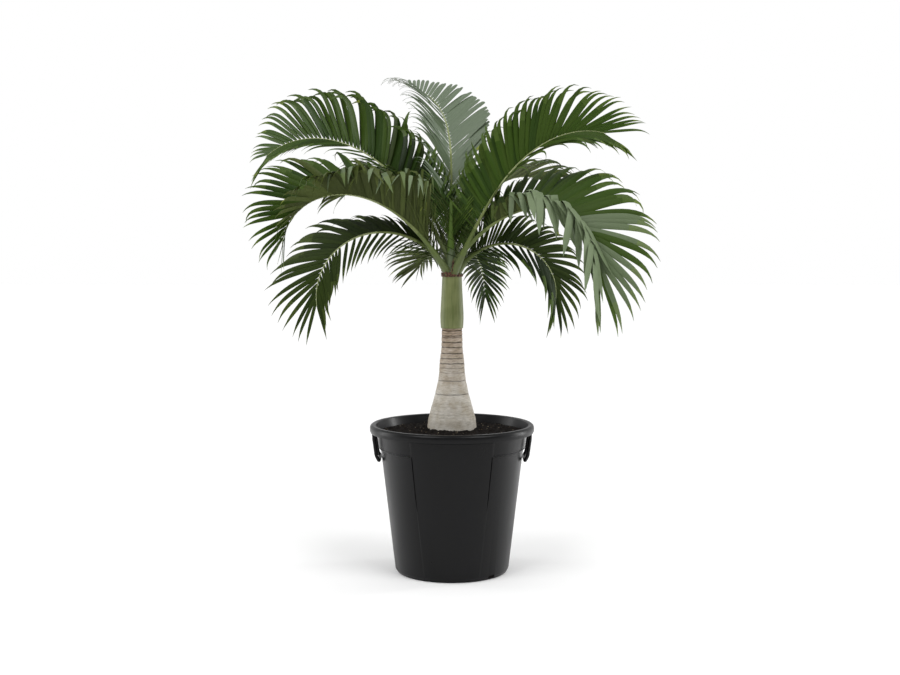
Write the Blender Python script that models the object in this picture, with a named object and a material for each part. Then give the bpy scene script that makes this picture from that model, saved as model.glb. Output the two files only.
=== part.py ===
"""A potted carpoxylon palm: a black nursery tub of soil, a ringed trunk with a swollen foot, a smooth
green crownshaft, and twelve arched feather fronds.

Metres, +Z up. The origin is the middle of the tub's flat underside, and the plant's front faces -Y.
"""

import math

import bmesh
import bpy
import numpy as np
from mathutils import Matrix, Vector
from mathutils.bvhtree import BVHTree

# Gaps between neighbours
GAP = 0.0003
LEAFLET_GAP = 0.0004

# Tub
RIM_TOP = 0.451
RIM_RADIUS = 0.2495
RIM_UNDERSIDE = 0.4255
BAND_RADIUS = 0.2275
BAND_FOOT = 0.380
BODY_TOP = 0.3765
BODY_TOP_RADIUS = 0.2166
BODY_FOOT = 0.012
BODY_FOOT_RADIUS = 0.1735
FOOT_RADIUS = 0.163
TUB_WALL = 0.004
TUB_SIDES = 32
PANEL_HALF_FACETS = 3
PANEL_PROUD = 0.0012

# Lifting handles, one on each side
HANDLE_THICKNESS = 0.011
HANDLE_HALF_WIDTH = 0.045
HANDLE_TOP = (0.2358, 0.4250)
HANDLE_KNEE = (0.2285, 0.360)
HANDLE_GRIP = (0.2205, 0.345)
HANDLE_CORNER = 0.0045
HANDLE_SIDES = 8

# Soil
SOIL_TOP = 0.438
SOIL_EDGE = 0.425
SOIL_FLAT_RADIUS = 0.082
SOIL_SIDES = 32

# Trunk: height above the floor and radius, from the cut at the soil to the crownshaft
TRUNK_FOOT = SOIL_TOP + GAP
TRUNK_TOP = 0.743
TRUNK_SIDES = 20
TRUNK_TAPER = (
    (TRUNK_FOOT, 0.0747),
    (0.466, 0.0721),
    (0.506, 0.0616),
    (0.541, 0.0516),
    (0.584, 0.0420),
    (0.607, 0.0391),
    (0.638, 0.0376),
    (0.681, 0.0323),
    (TRUNK_TOP, 0.0308),
)
TRUNK_RINGS = 9
RING_DEPTH = 0.0008
RING_SPACING_LOW = 0.044
RING_SPACING_HIGH = 0.018
FIRST_RING_UP = 0.020
LAST_RING_DOWN = 0.005

# Crownshaft, the fibrous collar on it and the rolled heart leaf inside the crown
SHAFT_FOOT = TRUNK_TOP + GAP
SHAFT_TOP = 0.901
COLLAR_TOP = 0.9133
COLLAR_RADIUS = 0.0315
HEART_FOOT = COLLAR_TOP + GAP
HEART_TOP = 0.995
SHAFT_TAPER = ((SHAFT_FOOT, 0.0332), (0.757, 0.0348), (0.778, 0.0355), (0.855, 0.0314), (SHAFT_TOP, 0.0293))
HEART_TAPER = ((HEART_FOOT, 0.0265), (0.932, 0.0200), (0.945, 0.0155), (0.970, 0.0125), (HEART_TOP, 0.0095))
SHAFT_SIDES = 20

# Frond rib: share of its length from the seat, and radius
RIB_STATIONS = (0.0, 0.15, 0.3, 0.7, 1.0)
RIB_RADII = (0.0110, 0.0068, 0.0045, 0.0025, 0.0015)
RIB_SIDES = 6
RIB_STEPS = 240
SECTION_TURN = 0.3
RIB_PIECE = 0.025
GUIDE_REACH = 0.3

# Leaflet: half-width along it as a share of the full half-width, keel height as a share of its length
LEAFLET_SPACING = 0.0279
LEAFLET_WIDTH = 0.020
LEAFLET_KEEL = 0.0125
LEAFLET_STEPS = 12
LEAFLET_LAST = 0.985
ROOT_DEPTH = 0.0005
ROW_STAGGER = 0.003
FULL_LEAFLET = 0.19
LONG_LEAFLET = 0.225
NOD_FROM = 7
OUTLINE_AT = (0.0, 0.12, 0.35, 0.6, 0.85, 1.0)
OUTLINE_WIDTH = (0.28, 0.8, 1.0, 0.8, 0.4, 0.0)

# Where a leaflet meets another frond it is turned up or down, then shortened, then left out
TRY_TURNS = (0, 10, -10, 20, -20, 32, -32)
TRY_LENGTHS = (1.0, 0.75, 0.5)

# Fronds. Angles in degrees: heading is anticlockwise seen from above with 0 at +X, rise and fall are the
# rib's slope at its seat and tip, sweep is how far its heading turns. A frond has a left and a right row of
# leaflets. A row stands above the frond's plane by its stand angle, leaves the rib at its spread angle and
# has leaflets as long as its reach. Its crease is the share of a leaflet's length where its own weight folds
# it, the more suddenly the higher its sag. Its nod bends the tips down, its sway bends them towards the
# frond's tip too, and its louver turns its blades about their own length. Several values are spaced evenly
# from the leafy part's base to its tip.
PLAIN_ROW = dict(crease=1.0, sag=3, nod=1.0, sway=0, louver=18)
FRONDS = {
    "front_right_high": dict(
        seat=(0.008, -0.0155, 0.9135), heading=-16, rise=64.5, fall=-16, bend=2.45, length=0.662, sweep=2,
        bare=0.12, split=0.62,
        left=dict(stand=(60, 90, 90, 90, 60), spread=(80, 64, 52, 40, 18),
                  reach=(0.140, 0.182, 0.202, 0.200, 0.140),
                  crease=(0.85, 0.86, 0.87, 0.95, 1.5), sag=6, nod=0.8, sway=0.8),
        right=dict(stand=(-8, -14, -40, -70), spread=(40, 36, 32, 24), reach=(0.10, 0.16, 0.19, 0.14),
                   crease=(0.95, 0.95, 1.1, 1.6), louver=-10),
    ),
    "front_left_middle": dict(
        seat=(-0.0155, -0.0105, 0.915), heading=185, rise=56, fall=-79, bend=1.77, length=0.67, sweep=41,
        bare=0.15, split=0.52,
        left=dict(stand=(80, 8), spread=(43, 57, 54, 38, 24), reach=(0.265, 0.195, 0.190, 0.185, 0.110),
                  crease=(0.80, 0.68, 0.66, 1.20, 1.60), sag=8),
        right=dict(stand=(22, 80), spread=(60, 60, 50, 40, 20),
                   reach=(0.165, 0.20, 0.225, 0.225, 0.218, 0.232, 0.205, 0.155, 0.11),
                   crease=(1.37, 1.37, 1.37, 1.7, 2.0)),
    ),
    "right_low": dict(
        seat=(0.0185, 0.0, 0.917), heading=13, rise=54, fall=-97, bend=1.12, length=0.438, sweep=-10,
        bare=0.15, split=0.50,
        left=dict(stand=(69, 71), spread=(50, 50, 44, 32, 10), reach=(0.10, 0.145, 0.165, 0.160, 0.14),
                  crease=1.15),
        right=dict(stand=(-42, -62), spread=(62, 60, 50, 32, 8), reach=(0.11, 0.14, 0.15, 0.15, 0.14),
                   crease=(0.8, 0.9, 1.0), nod=0.5, louver=-5),
    ),
    "left_low": dict(
        seat=(-0.0165, 0.003, 0.919), heading=175, rise=57, fall=-98, bend=1.12, length=0.573, sweep=32,
        bare=0.15, split=0.48,
        left=dict(stand=(-40, -50, -56, -60, -64), spread=(62, 62, 56, 42, 14),
                  reach=(0.10, 0.125, 0.135, 0.135, 0.12),
                  crease=0.9, nod=0.5, louver=-5),
        right=dict(stand=(18, 56), spread=(45, 52, 55, 50, 14), reach=(0.12, 0.185, 0.215, 0.220, 0.14),
                   crease=1.22, nod=0.5),
    ),
    "rear_right_drooping": dict(
        seat=(0.010, 0.0155, 0.923), heading=71.5, rise=35, fall=-75, bend=1.09, length=0.423, sweep=6.5,
        bare=0.28, stout=0.8,
        left=dict(stand=(20, 10), spread=(56, 54, 46, 32, 12), reach=(0.10, 0.125, 0.130, 0.125, 0.11),
                  crease=1.1, nod=0.5),
        right=dict(stand=(10, 6), spread=(56, 54, 46, 32, 12), reach=(0.10, 0.125, 0.130, 0.125, 0.11),
                   crease=1.1, nod=0.5),
    ),
    "rear_left_drooping": dict(
        seat=(-0.007, 0.0165, 0.923), heading=110, rise=42, fall=-45, bend=1.0, length=0.27, sweep=14,
        bare=0.30, stout=0.8,
        left=dict(stand=(12, -5), spread=(60, 55, 46, 32, 14), reach=(0.13, 0.17, 0.17, 0.14, 0.10),
                  crease=1.2, nod=0.5),
        right=dict(stand=(25, 15), spread=(55, 50, 42, 30, 14), reach=(0.10, 0.13, 0.13, 0.11, 0.08),
                   crease=0.8, nod=0.5),
    ),
    "front_right_middle": dict(
        seat=(0.011, -0.003, 0.946), heading=-24, rise=48.5, fall=-83, bend=1.5, length=0.65, sweep=-44,
        bare=0.20, split=0.55,
        left=dict(stand=(44, 36), spread=(84, 74, 60, 40, 10), reach=(0.19, 0.25, 0.255, 0.24, 0.215),
                  crease=1.43),
        right=dict(stand=(64, 54, 46, 40, 24), spread=(60, 60, 62, 50, 8),
                   reach=(0.12, 0.185, 0.220, 0.225, 0.21),
                   crease=(0.52, 0.44, 0.34, 0.32, 0.8), sag=5, sway=0.3, louver=-20),
    ),
    "left_high": dict(
        seat=(-0.0085, 0.0035, 0.951), heading=159, rise=62, fall=-33, bend=1.6, length=0.829, sweep=-13,
        bare=0.10, split=0.58,
        left=dict(stand=(-4, -20, -50, -75), spread=(32, 28, 25, 22), reach=(0.09, 0.12, 0.15, 0.13),
                  crease=(1.0, 1.0, 1.2, 1.6), nod=0.4, louver=-10),
        right=dict(stand=(82, 90, 90, 90, 60), spread=(74, 66, 58, 46, 20),
                   reach=(0.150, 0.200, 0.228, 0.210, 0.11),
                   crease=(0.80, 0.86, 0.87, 0.95, 1.4), sag=6, nod=0.8, sway=0.9),
    ),
    "rear_middle": dict(
        seat=(0.002, 0.010, 0.950), heading=88, rise=62, fall=-62, bend=1.35, length=0.58, sweep=-4,
        bare=0.12, split=0.55,
        left=dict(stand=(30, 30), spread=(58, 47, 20), reach=(0.11, 0.175, 0.18, 0.165, 0.135)),
        right=dict(stand=(30, 30), spread=(58, 47, 20), reach=(0.11, 0.175, 0.18, 0.165, 0.135)),
    ),
    "rear_left_high": dict(
        seat=(-0.006, 0.006, 0.955), heading=138, rise=66, fall=-40, bend=1.5, length=0.56, sweep=6,
        bare=0.08, split=0.60,
        left=dict(stand=(35, 30), spread=(58, 47, 20), reach=(0.11, 0.175, 0.18, 0.165, 0.135)),
        right=dict(stand=(35, 30), spread=(58, 47, 20), reach=(0.11, 0.175, 0.18, 0.165, 0.135)),
    ),
    "rear_right_high": dict(
        seat=(0.006, 0.006, 0.955), heading=42, rise=66, fall=-40, bend=1.5, length=0.57, sweep=-6,
        bare=0.08, split=0.60,
        left=dict(stand=(35, 30), spread=(58, 47, 20), reach=(0.11, 0.175, 0.18, 0.165, 0.135)),
        right=dict(stand=(35, 30), spread=(58, 47, 20), reach=(0.11, 0.175, 0.18, 0.165, 0.135)),
    ),
    "top_centre": dict(
        seat=(-0.004, -0.002, 0.966), heading=84.5, rise=92.5, fall=14, bend=0.92, length=0.743, sweep=55,
        bare=0.06, split=0.62,
        left=dict(stand=(31, 22), spread=(40, 39, 38, 40, 50), reach=(0.11, 0.19, 0.205, 0.165, 0.11),
                  crease=(1.25, 1.25, 1.25, 1.1, 0.7), louver=0, nod=0.7),
        right=dict(stand=(27, 21), spread=(40, 42, 60, 52, 36), reach=(0.11, 0.155, 0.158, 0.120, 0.07),
                   crease=2.0, louver=0, nod=0.1),
    ),
}


def linear(value):
    """One sRGB channel, 0 to 1, as linear light."""
    return value / 12.92 if value <= 0.04045 else ((value + 0.055) / 1.055) ** 2.4


def finish(name, colour, roughness):
    """A Principled material from an sRGB hex colour."""
    channels = [linear(int(colour[i : i + 2], 16) / 255) for i in (0, 2, 4)]
    material = bpy.data.materials.new(name)
    material.use_nodes = True
    shader = material.node_tree.nodes["Principled BSDF"]
    shader.inputs["Base Color"].default_value = (*channels, 1)
    shader.inputs["Roughness"].default_value = roughness
    shader.inputs["Metallic"].default_value = 0
    return material


def placed(name, mesh, material):
    """An object in the scene for this mesh."""
    mesh.materials.append(material)
    thing = bpy.data.objects.new(name, mesh)
    bpy.context.scene.collection.objects.link(thing)
    return thing


def unit(vectors):
    return vectors / np.linalg.norm(vectors, axis=-1, keepdims=True)


def mesh_of(name, points, faces):
    mesh = bpy.data.meshes.new(name)
    mesh.from_pydata([tuple(map(float, point)) for point in points], [], faces)
    return mesh


def smooth_sides(mesh, angle=40):
    mesh.shade_smooth()
    mesh.set_sharp_from_angle(angle=math.radians(angle))


def turned(name, profile, sides):
    """A closed mesh turned about Z from (radius, height) points that start and end on the axis."""
    bm = bmesh.new()
    points = [bm.verts.new((radius, 0, height)) for radius, height in profile]
    for first, second in zip(points, points[1:]):
        bm.edges.new((first, second))
    outline = bm.verts[:] + bm.edges[:]
    bmesh.ops.spin(bm, geom=outline, axis=(0, 0, 1), angle=math.tau, steps=sides, use_merge=True)
    bmesh.ops.remove_doubles(bm, verts=bm.verts, dist=1e-6)
    bmesh.ops.recalc_face_normals(bm, faces=bm.faces)
    mesh = bpy.data.meshes.new(name)
    bm.to_mesh(mesh)
    bm.free()
    smooth_sides(mesh)
    return mesh


def turned_sector(name, loop, start, sweep, steps):
    """A closed loop of (radius, height) points swept part of the way round Z, with flat ends."""
    bm = bmesh.new()
    first = [bm.verts.new((radius, 0, height)) for radius, height in loop]
    bm.faces.new(first)
    bmesh.ops.rotate(bm, verts=bm.verts, matrix=Matrix.Rotation(math.radians(start), 3, "Z"))
    section = bm.verts[:] + bm.edges[:] + bm.faces[:]
    bmesh.ops.spin(bm, geom=section, axis=(0, 0, 1), angle=math.radians(sweep), steps=steps)
    bmesh.ops.remove_doubles(bm, verts=bm.verts, dist=1e-6)
    bmesh.ops.recalc_face_normals(bm, faces=bm.faces)
    mesh = bpy.data.meshes.new(name)
    bm.to_mesh(mesh)
    bm.free()
    return mesh


def swept(name, route, ahead, across, radii, sides):
    """A closed tube of round section along a route, with a direction, a side direction and a radius at each
    of its points."""
    across = unit(across - (across * ahead).sum(axis=1, keepdims=True) * ahead)
    up = np.cross(ahead, across)
    turns = (np.arange(sides) + SECTION_TURN) * math.tau / sides
    points = []
    for centre, radius, side, rise in zip(route, radii, across, up):
        points += [centre + radius * (math.cos(turn) * side + math.sin(turn) * rise) for turn in turns]
    last = (len(route) - 1) * sides
    faces = [tuple(range(sides))[::-1], tuple(range(last, last + sides))]
    for ring in range(0, last, sides):
        for i in range(sides):
            j = (i + 1) % sides
            faces.append((ring + i, ring + j, ring + sides + j, ring + sides + i))
    return mesh_of(name, points, faces)


def joined(name, mesh, others, operation="UNION", solver="MANIFOLD"):
    """The mesh joined with others, or cut by them, in one Boolean. The others are used up."""
    base = bpy.data.objects.new(name, mesh)
    bpy.context.scene.collection.objects.link(base)
    group = bpy.data.collections.new(name + "_pieces")
    bpy.context.scene.collection.children.link(group)
    pieces = [bpy.data.objects.new(name + "_piece", other) for other in others]
    for piece in pieces:
        group.objects.link(piece)
    boolean = base.modifiers.new("join", "BOOLEAN")
    boolean.operation = operation
    boolean.operand_type = "COLLECTION"
    boolean.collection = group
    boolean.solver = solver
    graph = bpy.context.evaluated_depsgraph_get()
    result = bpy.data.meshes.new_from_object(base.evaluated_get(graph))
    for piece in pieces:
        bpy.data.objects.remove(piece)
    bpy.data.collections.remove(group)
    bpy.data.objects.remove(base)
    for used in [mesh, *others]:
        bpy.data.meshes.remove(used)
    result.name = name
    return largest_body(result)


def largest_body(mesh):
    """Keeps a mesh's largest closed body, so that loose scraps and sealed hollows go."""
    bm = bmesh.new()
    bm.from_mesh(mesh)
    triangulate(bm)
    unseen = set(bm.faces)
    bodies = []
    while unseen:
        body = {unseen.pop()}
        edge = list(body)
        while edge:
            shared = [side.link_faces for side in edge.pop().edges if len(side.link_faces) == 2]
            near = {other for faces in shared for other in faces} & unseen
            unseen -= near
            body |= near
            edge += near
        bodies.append(body)
    keep = max(bodies, key=enclosed)
    scraps = [face for body in bodies if body is not keep for face in body]
    bmesh.ops.delete(bm, geom=scraps, context="FACES")
    bm.to_mesh(mesh)
    bm.free()
    return mesh


def triangulate(bm):
    """Cuts the faces into triangles. Where two faces would be cut along the same line, one of the cuts gets
    a point of its own in the middle, so that no edge has more than two faces."""
    bm.faces.index_update()
    whole = bm.faces.layers.int.new("whole_face")
    for face in bm.faces:
        face[whole] = face.index
    bmesh.ops.triangulate(bm, faces=bm.faces)
    for edge in [edge for edge in bm.edges if len(edge.link_faces) > 2]:
        sides = [face[whole] for face in edge.link_faces]
        cut = next(side for side in sides if sides.count(side) == 2)
        middle = bm.verts.new((edge.verts[0].co + edge.verts[1].co) / 2)
        for face in [face for face in edge.link_faces if face[whole] == cut]:
            tip = next(vertex for vertex in face.verts if vertex not in edge.verts)
            corners = list(face.verts)
            turn = corners.index(tip)
            before, after = corners[turn - 2], corners[turn - 1]
            bm.faces.remove(face)
            bm.faces.new((tip, before, middle))
            bm.faces.new((tip, middle, after))
    bm.faces.layers.int.remove(whole)


def enclosed(faces):
    """The volume that these faces enclose."""
    total = 0
    for face in faces:
        corners = [vertex.co for vertex in face.verts]
        for second, third in zip(corners[1:], corners[2:]):
            total += corners[0].dot(second.cross(third)) / 6
    return total


def rounded(corners, radius, steps=2):
    """A route through corners with each inner corner rounded."""
    corners = [np.array(corner, float) for corner in corners]
    route = [corners[0]]
    for before, corner, after in zip(corners, corners[1:], corners[2:]):
        start = corner + radius * (before - corner) / np.linalg.norm(before - corner)
        end = corner + radius * (after - corner) / np.linalg.norm(after - corner)
        for t in np.linspace(0, 1, steps + 1):
            route.append((1 - t) ** 2 * start + 2 * t * (1 - t) * corner + t**2 * end)
    return route + [corners[-1]]


def inner_wall(clearance):
    """The tub's inner wall, foot to rim, as (radius, height) points moved inwards by the clearance."""
    step = BAND_FOOT - 0.002
    offset = TUB_WALL + clearance
    return [
        (BODY_FOOT_RADIUS - offset, BODY_FOOT),
        (BODY_TOP_RADIUS - offset, BODY_TOP - TUB_WALL),
        (0.2219 - offset, step),
        (BAND_RADIUS - offset, RIM_UNDERSIDE),
    ]


def build_tub(plastic):
    outside = [
        (0, 0),
        (FOOT_RADIUS, 0),
        (0.168, 0.002),
        (BODY_FOOT_RADIUS - 0.001, 0.010),
        (BODY_FOOT_RADIUS, BODY_FOOT),
        (BODY_TOP_RADIUS, BODY_TOP),
        (0.2219, BAND_FOOT),
        (0.2264, 0.419),
        (BAND_RADIUS, RIM_UNDERSIDE),
        (0.2400, RIM_UNDERSIDE),
        (0.2470, 0.4265),
        (RIM_RADIUS, 0.432),
        (RIM_RADIUS, 0.443),
        (0.2430, RIM_TOP),
        (0.2360, RIM_TOP),
        (0.2320, 0.4485),
    ]
    inside = [*inner_wall(0), (0.2310, 0.4440)]
    floor = [(0, TUB_WALL), (BODY_FOOT_RADIUS - 0.012, TUB_WALL)]
    shell = turned("tub", [*outside, *reversed(inside), *reversed(floor)], TUB_SIDES)
    panel = [
        (BODY_FOOT_RADIUS + PANEL_PROUD, BODY_FOOT + 0.0005),
        (BAND_RADIUS - 0.0005 + PANEL_PROUD, 0.4225),
        (BAND_RADIUS - 0.002, 0.4225),
        (0.2205, 0.382),
        (BODY_TOP_RADIUS - 0.0015, BODY_TOP - 0.0035),
        (BODY_FOOT_RADIUS - 0.0015, BODY_FOOT + 0.0005),
    ]
    facet = 360 / TUB_SIDES
    half = PANEL_HALF_FACETS * facet
    front = turned_sector("panel", panel, -90 - half, 2 * half, 2 * PANEL_HALF_FACETS)
    tub = joined("pot", shell, [front], solver="EXACT")
    smooth_sides(tub)
    placed("pot", tub, plastic)


def build_handles(plastic):
    for name, side in (("handle_left", -1), ("handle_right", 1)):
        x, z = HANDLE_TOP
        knee_x, knee_z = HANDLE_KNEE
        grip_x, grip_z = HANDLE_GRIP
        leg = [(x, z), (x, z - 0.010), (knee_x, knee_z), (grip_x, grip_z)]
        near = [(side * r, -HANDLE_HALF_WIDTH, h) for r, h in leg]
        far = [(side * r, HANDLE_HALF_WIDTH, h) for r, h in reversed(leg)]
        route = np.array(rounded([*near, *far], HANDLE_CORNER))
        ahead = unit(np.gradient(route, axis=0))
        ahead[0], ahead[-1] = (0, 0, -1), (0, 0, 1)
        radii = [HANDLE_THICKNESS / 2] * len(route)
        mesh = swept(name, route, ahead, np.cross(ahead, (side, 0, 0.2)), radii, HANDLE_SIDES)
        smooth_sides(mesh, 50)
        placed(name, mesh, plastic)


def build_soil(soil):
    top = [(0, SOIL_TOP), (SOIL_FLAT_RADIUS, SOIL_TOP), (0.130, 0.4335), (0.190, 0.4275)]
    walls = inner_wall(GAP)
    edge = (walls[-1][0] - 0.0002, SOIL_EDGE)
    foot = [(BODY_FOOT_RADIUS - 0.014, TUB_WALL + GAP), (0, TUB_WALL + GAP)]
    placed("soil", turned("soil", [*top, edge, *reversed(walls[:-1]), *foot], SOIL_SIDES), soil)


def taper_at(taper, height):
    heights, radii = zip(*taper)
    return float(np.interp(height, heights, radii))


def ring_heights():
    """Heights of the leaf scars, closer together towards the top of the trunk."""
    spacings = [blend(RING_SPACING_LOW, RING_SPACING_HIGH, i / TRUNK_RINGS) for i in range(TRUNK_RINGS)]
    heights = TRUNK_FOOT + FIRST_RING_UP + np.cumsum(spacings)
    return heights[heights < TRUNK_TOP - LAST_RING_DOWN]


def build_trunk(bark):
    profile = [(0, TRUNK_FOOT), (TRUNK_TAPER[0][1], TRUNK_FOOT)]
    for height in ring_heights():
        radius = taper_at(TRUNK_TAPER, height)
        profile += [(radius, height - 0.002), (radius - RING_DEPTH, height), (radius, height + 0.002)]
    profile += [(TRUNK_TAPER[-1][1], TRUNK_TOP), (0, TRUNK_TOP)]
    placed("trunk", turned("trunk", profile, TRUNK_SIDES), bark)


def build_shaft(green, fibre):
    """The crownshaft, the collar of dry sheath fibre round its top, and the rolled heart leaf."""
    shaft = [(radius, height) for height, radius in SHAFT_TAPER]
    placed("crownshaft", turned("crownshaft", [(0, SHAFT_FOOT), *shaft, (0, SHAFT_TOP)], SHAFT_SIDES), green)
    foot = SHAFT_TOP + GAP
    side = [(COLLAR_RADIUS - 0.001, foot), (COLLAR_RADIUS, foot + 0.004), (COLLAR_RADIUS - 0.002, COLLAR_TOP)]
    placed("collar", turned("collar", [(0, foot), *side, (0, COLLAR_TOP)], SHAFT_SIDES), fibre)
    heart = [(radius, height) for height, radius in HEART_TAPER]
    heart = [(0, HEART_FOOT), *heart, (0, HEART_TOP)]
    placed("crown_heart", turned("crown_heart", heart, SHAFT_SIDES), green)


def blend(first, last, share):
    return first + (last - first) * share


def rib_of(frond):
    """Points, directions and left-hand directions along a frond's rib, from its seat to its tip."""
    share = np.linspace(0, 1, RIB_STEPS + 1)
    slope = np.radians(blend(frond["rise"], frond["fall"], share ** frond["bend"]))
    heading = np.radians(frond["heading"] + frond["sweep"] * share**2)
    level = np.cos(slope)
    ahead = np.stack([level * np.cos(heading), level * np.sin(heading), np.sin(slope)], axis=1)
    left = np.stack([-np.sin(heading), np.cos(heading), 0 * heading], axis=1)
    steps = (ahead[1:] + ahead[:-1]) / 2 * frond["length"] / RIB_STEPS
    points = np.array(frond["seat"]) + np.vstack([np.zeros(3), np.cumsum(steps, axis=0)])
    return points, ahead, left


def along_rib(rib, share):
    """The rib's point, direction and left-hand direction at a share of its length."""
    at = np.arange(RIB_STEPS + 1) / RIB_STEPS
    return [np.array([np.interp(share, at, line[:, axis]) for axis in range(3)]) for line in rib]


def rib_mesh(name, frond, rib, start, end, extra=0.0):
    """The rib's tube between two shares of its length, wider by the extra amount."""
    count = max(3, math.ceil((end - start) * frond["length"] / RIB_PIECE) + 1)
    shares = np.linspace(start, end, count)
    places = [along_rib(rib, share) for share in shares]
    radii = np.interp(shares, RIB_STATIONS, RIB_RADII) * frond.get("stout", 1) + extra
    route, ahead, left = [np.array(each) for each in zip(*places)]
    return swept(name, route, unit(ahead), left, radii, RIB_SIDES)


def between(values, place):
    """A row's value at a place along the leafy part of the rib, where several are given evenly."""
    values = np.atleast_1d(values)
    return float(np.interp(place, np.linspace(0, 1, len(values)), values))


def leaflet(frond, rib, side, place, turn=0, shorten=1.0, swell=0.0):
    """Points and faces of one leaflet: a thin closed blade with its keel on the upper side."""
    row = {**PLAIN_ROW, **frond["left" if side > 0 else "right"]}
    share = blend(frond["bare"], LEAFLET_LAST, place) + ROW_STAGGER * side
    root, ahead, left = along_rib(rib, share)
    ahead, left = unit(ahead), unit(left)
    above = np.cross(ahead, left)
    spread = math.radians(between(row["spread"], place))
    stand = math.radians(between(row["stand"], place) + turn)
    outwards = side * math.cos(stand) * left + math.sin(stand) * above
    aim = math.cos(spread) * ahead + math.sin(spread) * outwards
    reach = between(row["reach"], place)
    length = reach * shorten
    crease = between(row["crease"], place)
    middles = (np.arange(LEAFLET_STEPS)[:, None] + 0.5) / LEAFLET_STEPS * shorten
    down = (middles / crease) ** row["sag"] * reach / FULL_LEAFLET + row["nod"] * middles**NOD_FROM
    aims = unit(aim + down * (np.array([0, 0, -1.0]) + row["sway"] * ahead))
    route = root + np.vstack([np.zeros(3), np.cumsum(aims * length / LEAFLET_STEPS, axis=0)])
    tilt = math.radians(row["louver"])
    edge = unit(ahead - (ahead @ aims[0]) * aims[0])
    edge = math.cos(tilt) * edge - math.sin(tilt) * side * np.cross(edge, aims[0])
    stations = stations_for(crease)
    full = LEAFLET_WIDTH / 2 * (0.55 + 0.45 * reach / LONG_LEAFLET) * (1 - 0.3 * place**3)
    points = []
    faces = [(2, 1, 0)]
    for station in range(LEAFLET_STEPS):
        here = aims[min(station, LEAFLET_STEPS - 1)]
        edge = unit(edge - (edge @ here) * here)
        if station not in stations:
            continue
        half = full * np.interp(station / LEAFLET_STEPS, OUTLINE_AT, OUTLINE_WIDTH) + swell
        keel = unit(np.cross(edge, here)) * side * (LEAFLET_KEEL * length * min(1, half / full) + swell)
        points += [route[station] + edge * half, route[station] - edge * half, route[station] + keel]
    points.append(route[-1] + swell * aims[-1])
    tip = len(points) - 1
    for ring in range(0, tip, 3):
        for i in range(3):
            j = (i + 1) % 3
            ends = (tip,) if ring + 3 == tip else (ring + 3 + j, ring + 3 + i)
            faces.append((ring + i, ring + j, *ends))
    return np.array(points), faces if side > 0 else [face[::-1] for face in faces]


def stations_for(crease):
    """Steps along a leaflet that get a section of their own: more of them where it folds sharply."""
    return (0, 5) if crease >= 0.9 else (0, 4, 8)


class Taken:
    """The room that ribs, leaflets and the trunk already fill, each piece with the node it belongs to."""

    def __init__(self):
        self.pieces = []

    def add(self, owner, points, faces):
        self.pieces.append((owner, points.min(axis=0), points.max(axis=0), tree_of(points, faces)))

    def add_mesh(self, owner, mesh):
        points = np.array([tuple(vertex.co) for vertex in mesh.vertices])
        self.add(owner, points, [tuple(face.vertices) for face in mesh.polygons])

    def meets(self, owner, points, faces):
        """Whether this closed shape meets a piece of any other node."""
        low, high = points.min(axis=0), points.max(axis=0)
        tree = None
        for name, other_low, other_high, other in self.pieces:
            if name == owner or (low > other_high).any() or (other_low > high).any():
                continue
            tree = tree or tree_of(points, faces)
            if tree.overlap(other):
                return True
        return False


def tree_of_mesh(mesh):
    return tree_of([vertex.co for vertex in mesh.vertices], [tuple(face.vertices) for face in mesh.polygons])


def tree_of(points, faces):
    return BVHTree.FromPolygons([tuple(map(float, point)) for point in points], faces)


def is_sunk(tree, root):
    """Whether a leaflet's root lies well inside its rib."""
    place, outwards, _, _ = tree.find_nearest(root)
    return (Vector(root) - place).dot(outwards) < -ROOT_DEPTH


def halves_of(name, frond):
    """A frond's nodes as (name, start, end): one inner and one outer half where it is split at its bend."""
    if "split" not in frond:
        return [(name, 0.0, 1.0)]
    half_gap = GAP / 2 / frond["length"]
    inner = (name + "_inner", 0.0, frond["split"] - half_gap)
    return [inner, (name + "_outer", frond["split"] + half_gap, 1.0)]


def crown_clearance():
    """What a petiole is cut back to: all below the collar's top, and a little more than the heart leaf."""
    core = [(radius + GAP, height) for height, radius in HEART_TAPER]
    core[-1] = (core[-1][0], HEART_TOP + GAP)
    below = [(0, SHAFT_TOP - 0.05), (0.08, SHAFT_TOP - 0.05), (0.08, HEART_FOOT)]
    return turned("crown_clearance", [*below, *core, (0, HEART_TOP + GAP)], SHAFT_SIDES)


def build_ribs(taken):
    """The rib of each node, cut clear of the heart leaf and of the petioles seated before it."""
    ribs = {}
    seated = []
    for name, frond in FRONDS.items():
        line = rib_of(frond)
        for node, start, end in halves_of(name, frond):
            mesh = rib_mesh(node, frond, line, start, end)
            if start == 0:
                cutters = [crown_clearance()]
                cutters += [rib_mesh("guide", *other, 0.0, GUIDE_REACH, GAP) for other in seated]
                for cutter in cutters:
                    mesh = joined(node, mesh, [cutter], "DIFFERENCE")
            taken.add_mesh(node, mesh)
            ribs[node] = mesh
        seated.append((frond, line))
    return ribs


def fitted_leaflet(frond, line, side, place, node, taken):
    """The first form of this leaflet that meets no other node, or None."""
    for shorten in TRY_LENGTHS:
        for turn in TRY_TURNS:
            if not taken.meets(node, *leaflet(frond, line, side, place, turn, shorten, LEAFLET_GAP)):
                return leaflet(frond, line, side, place, turn, shorten)
    return None


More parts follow.
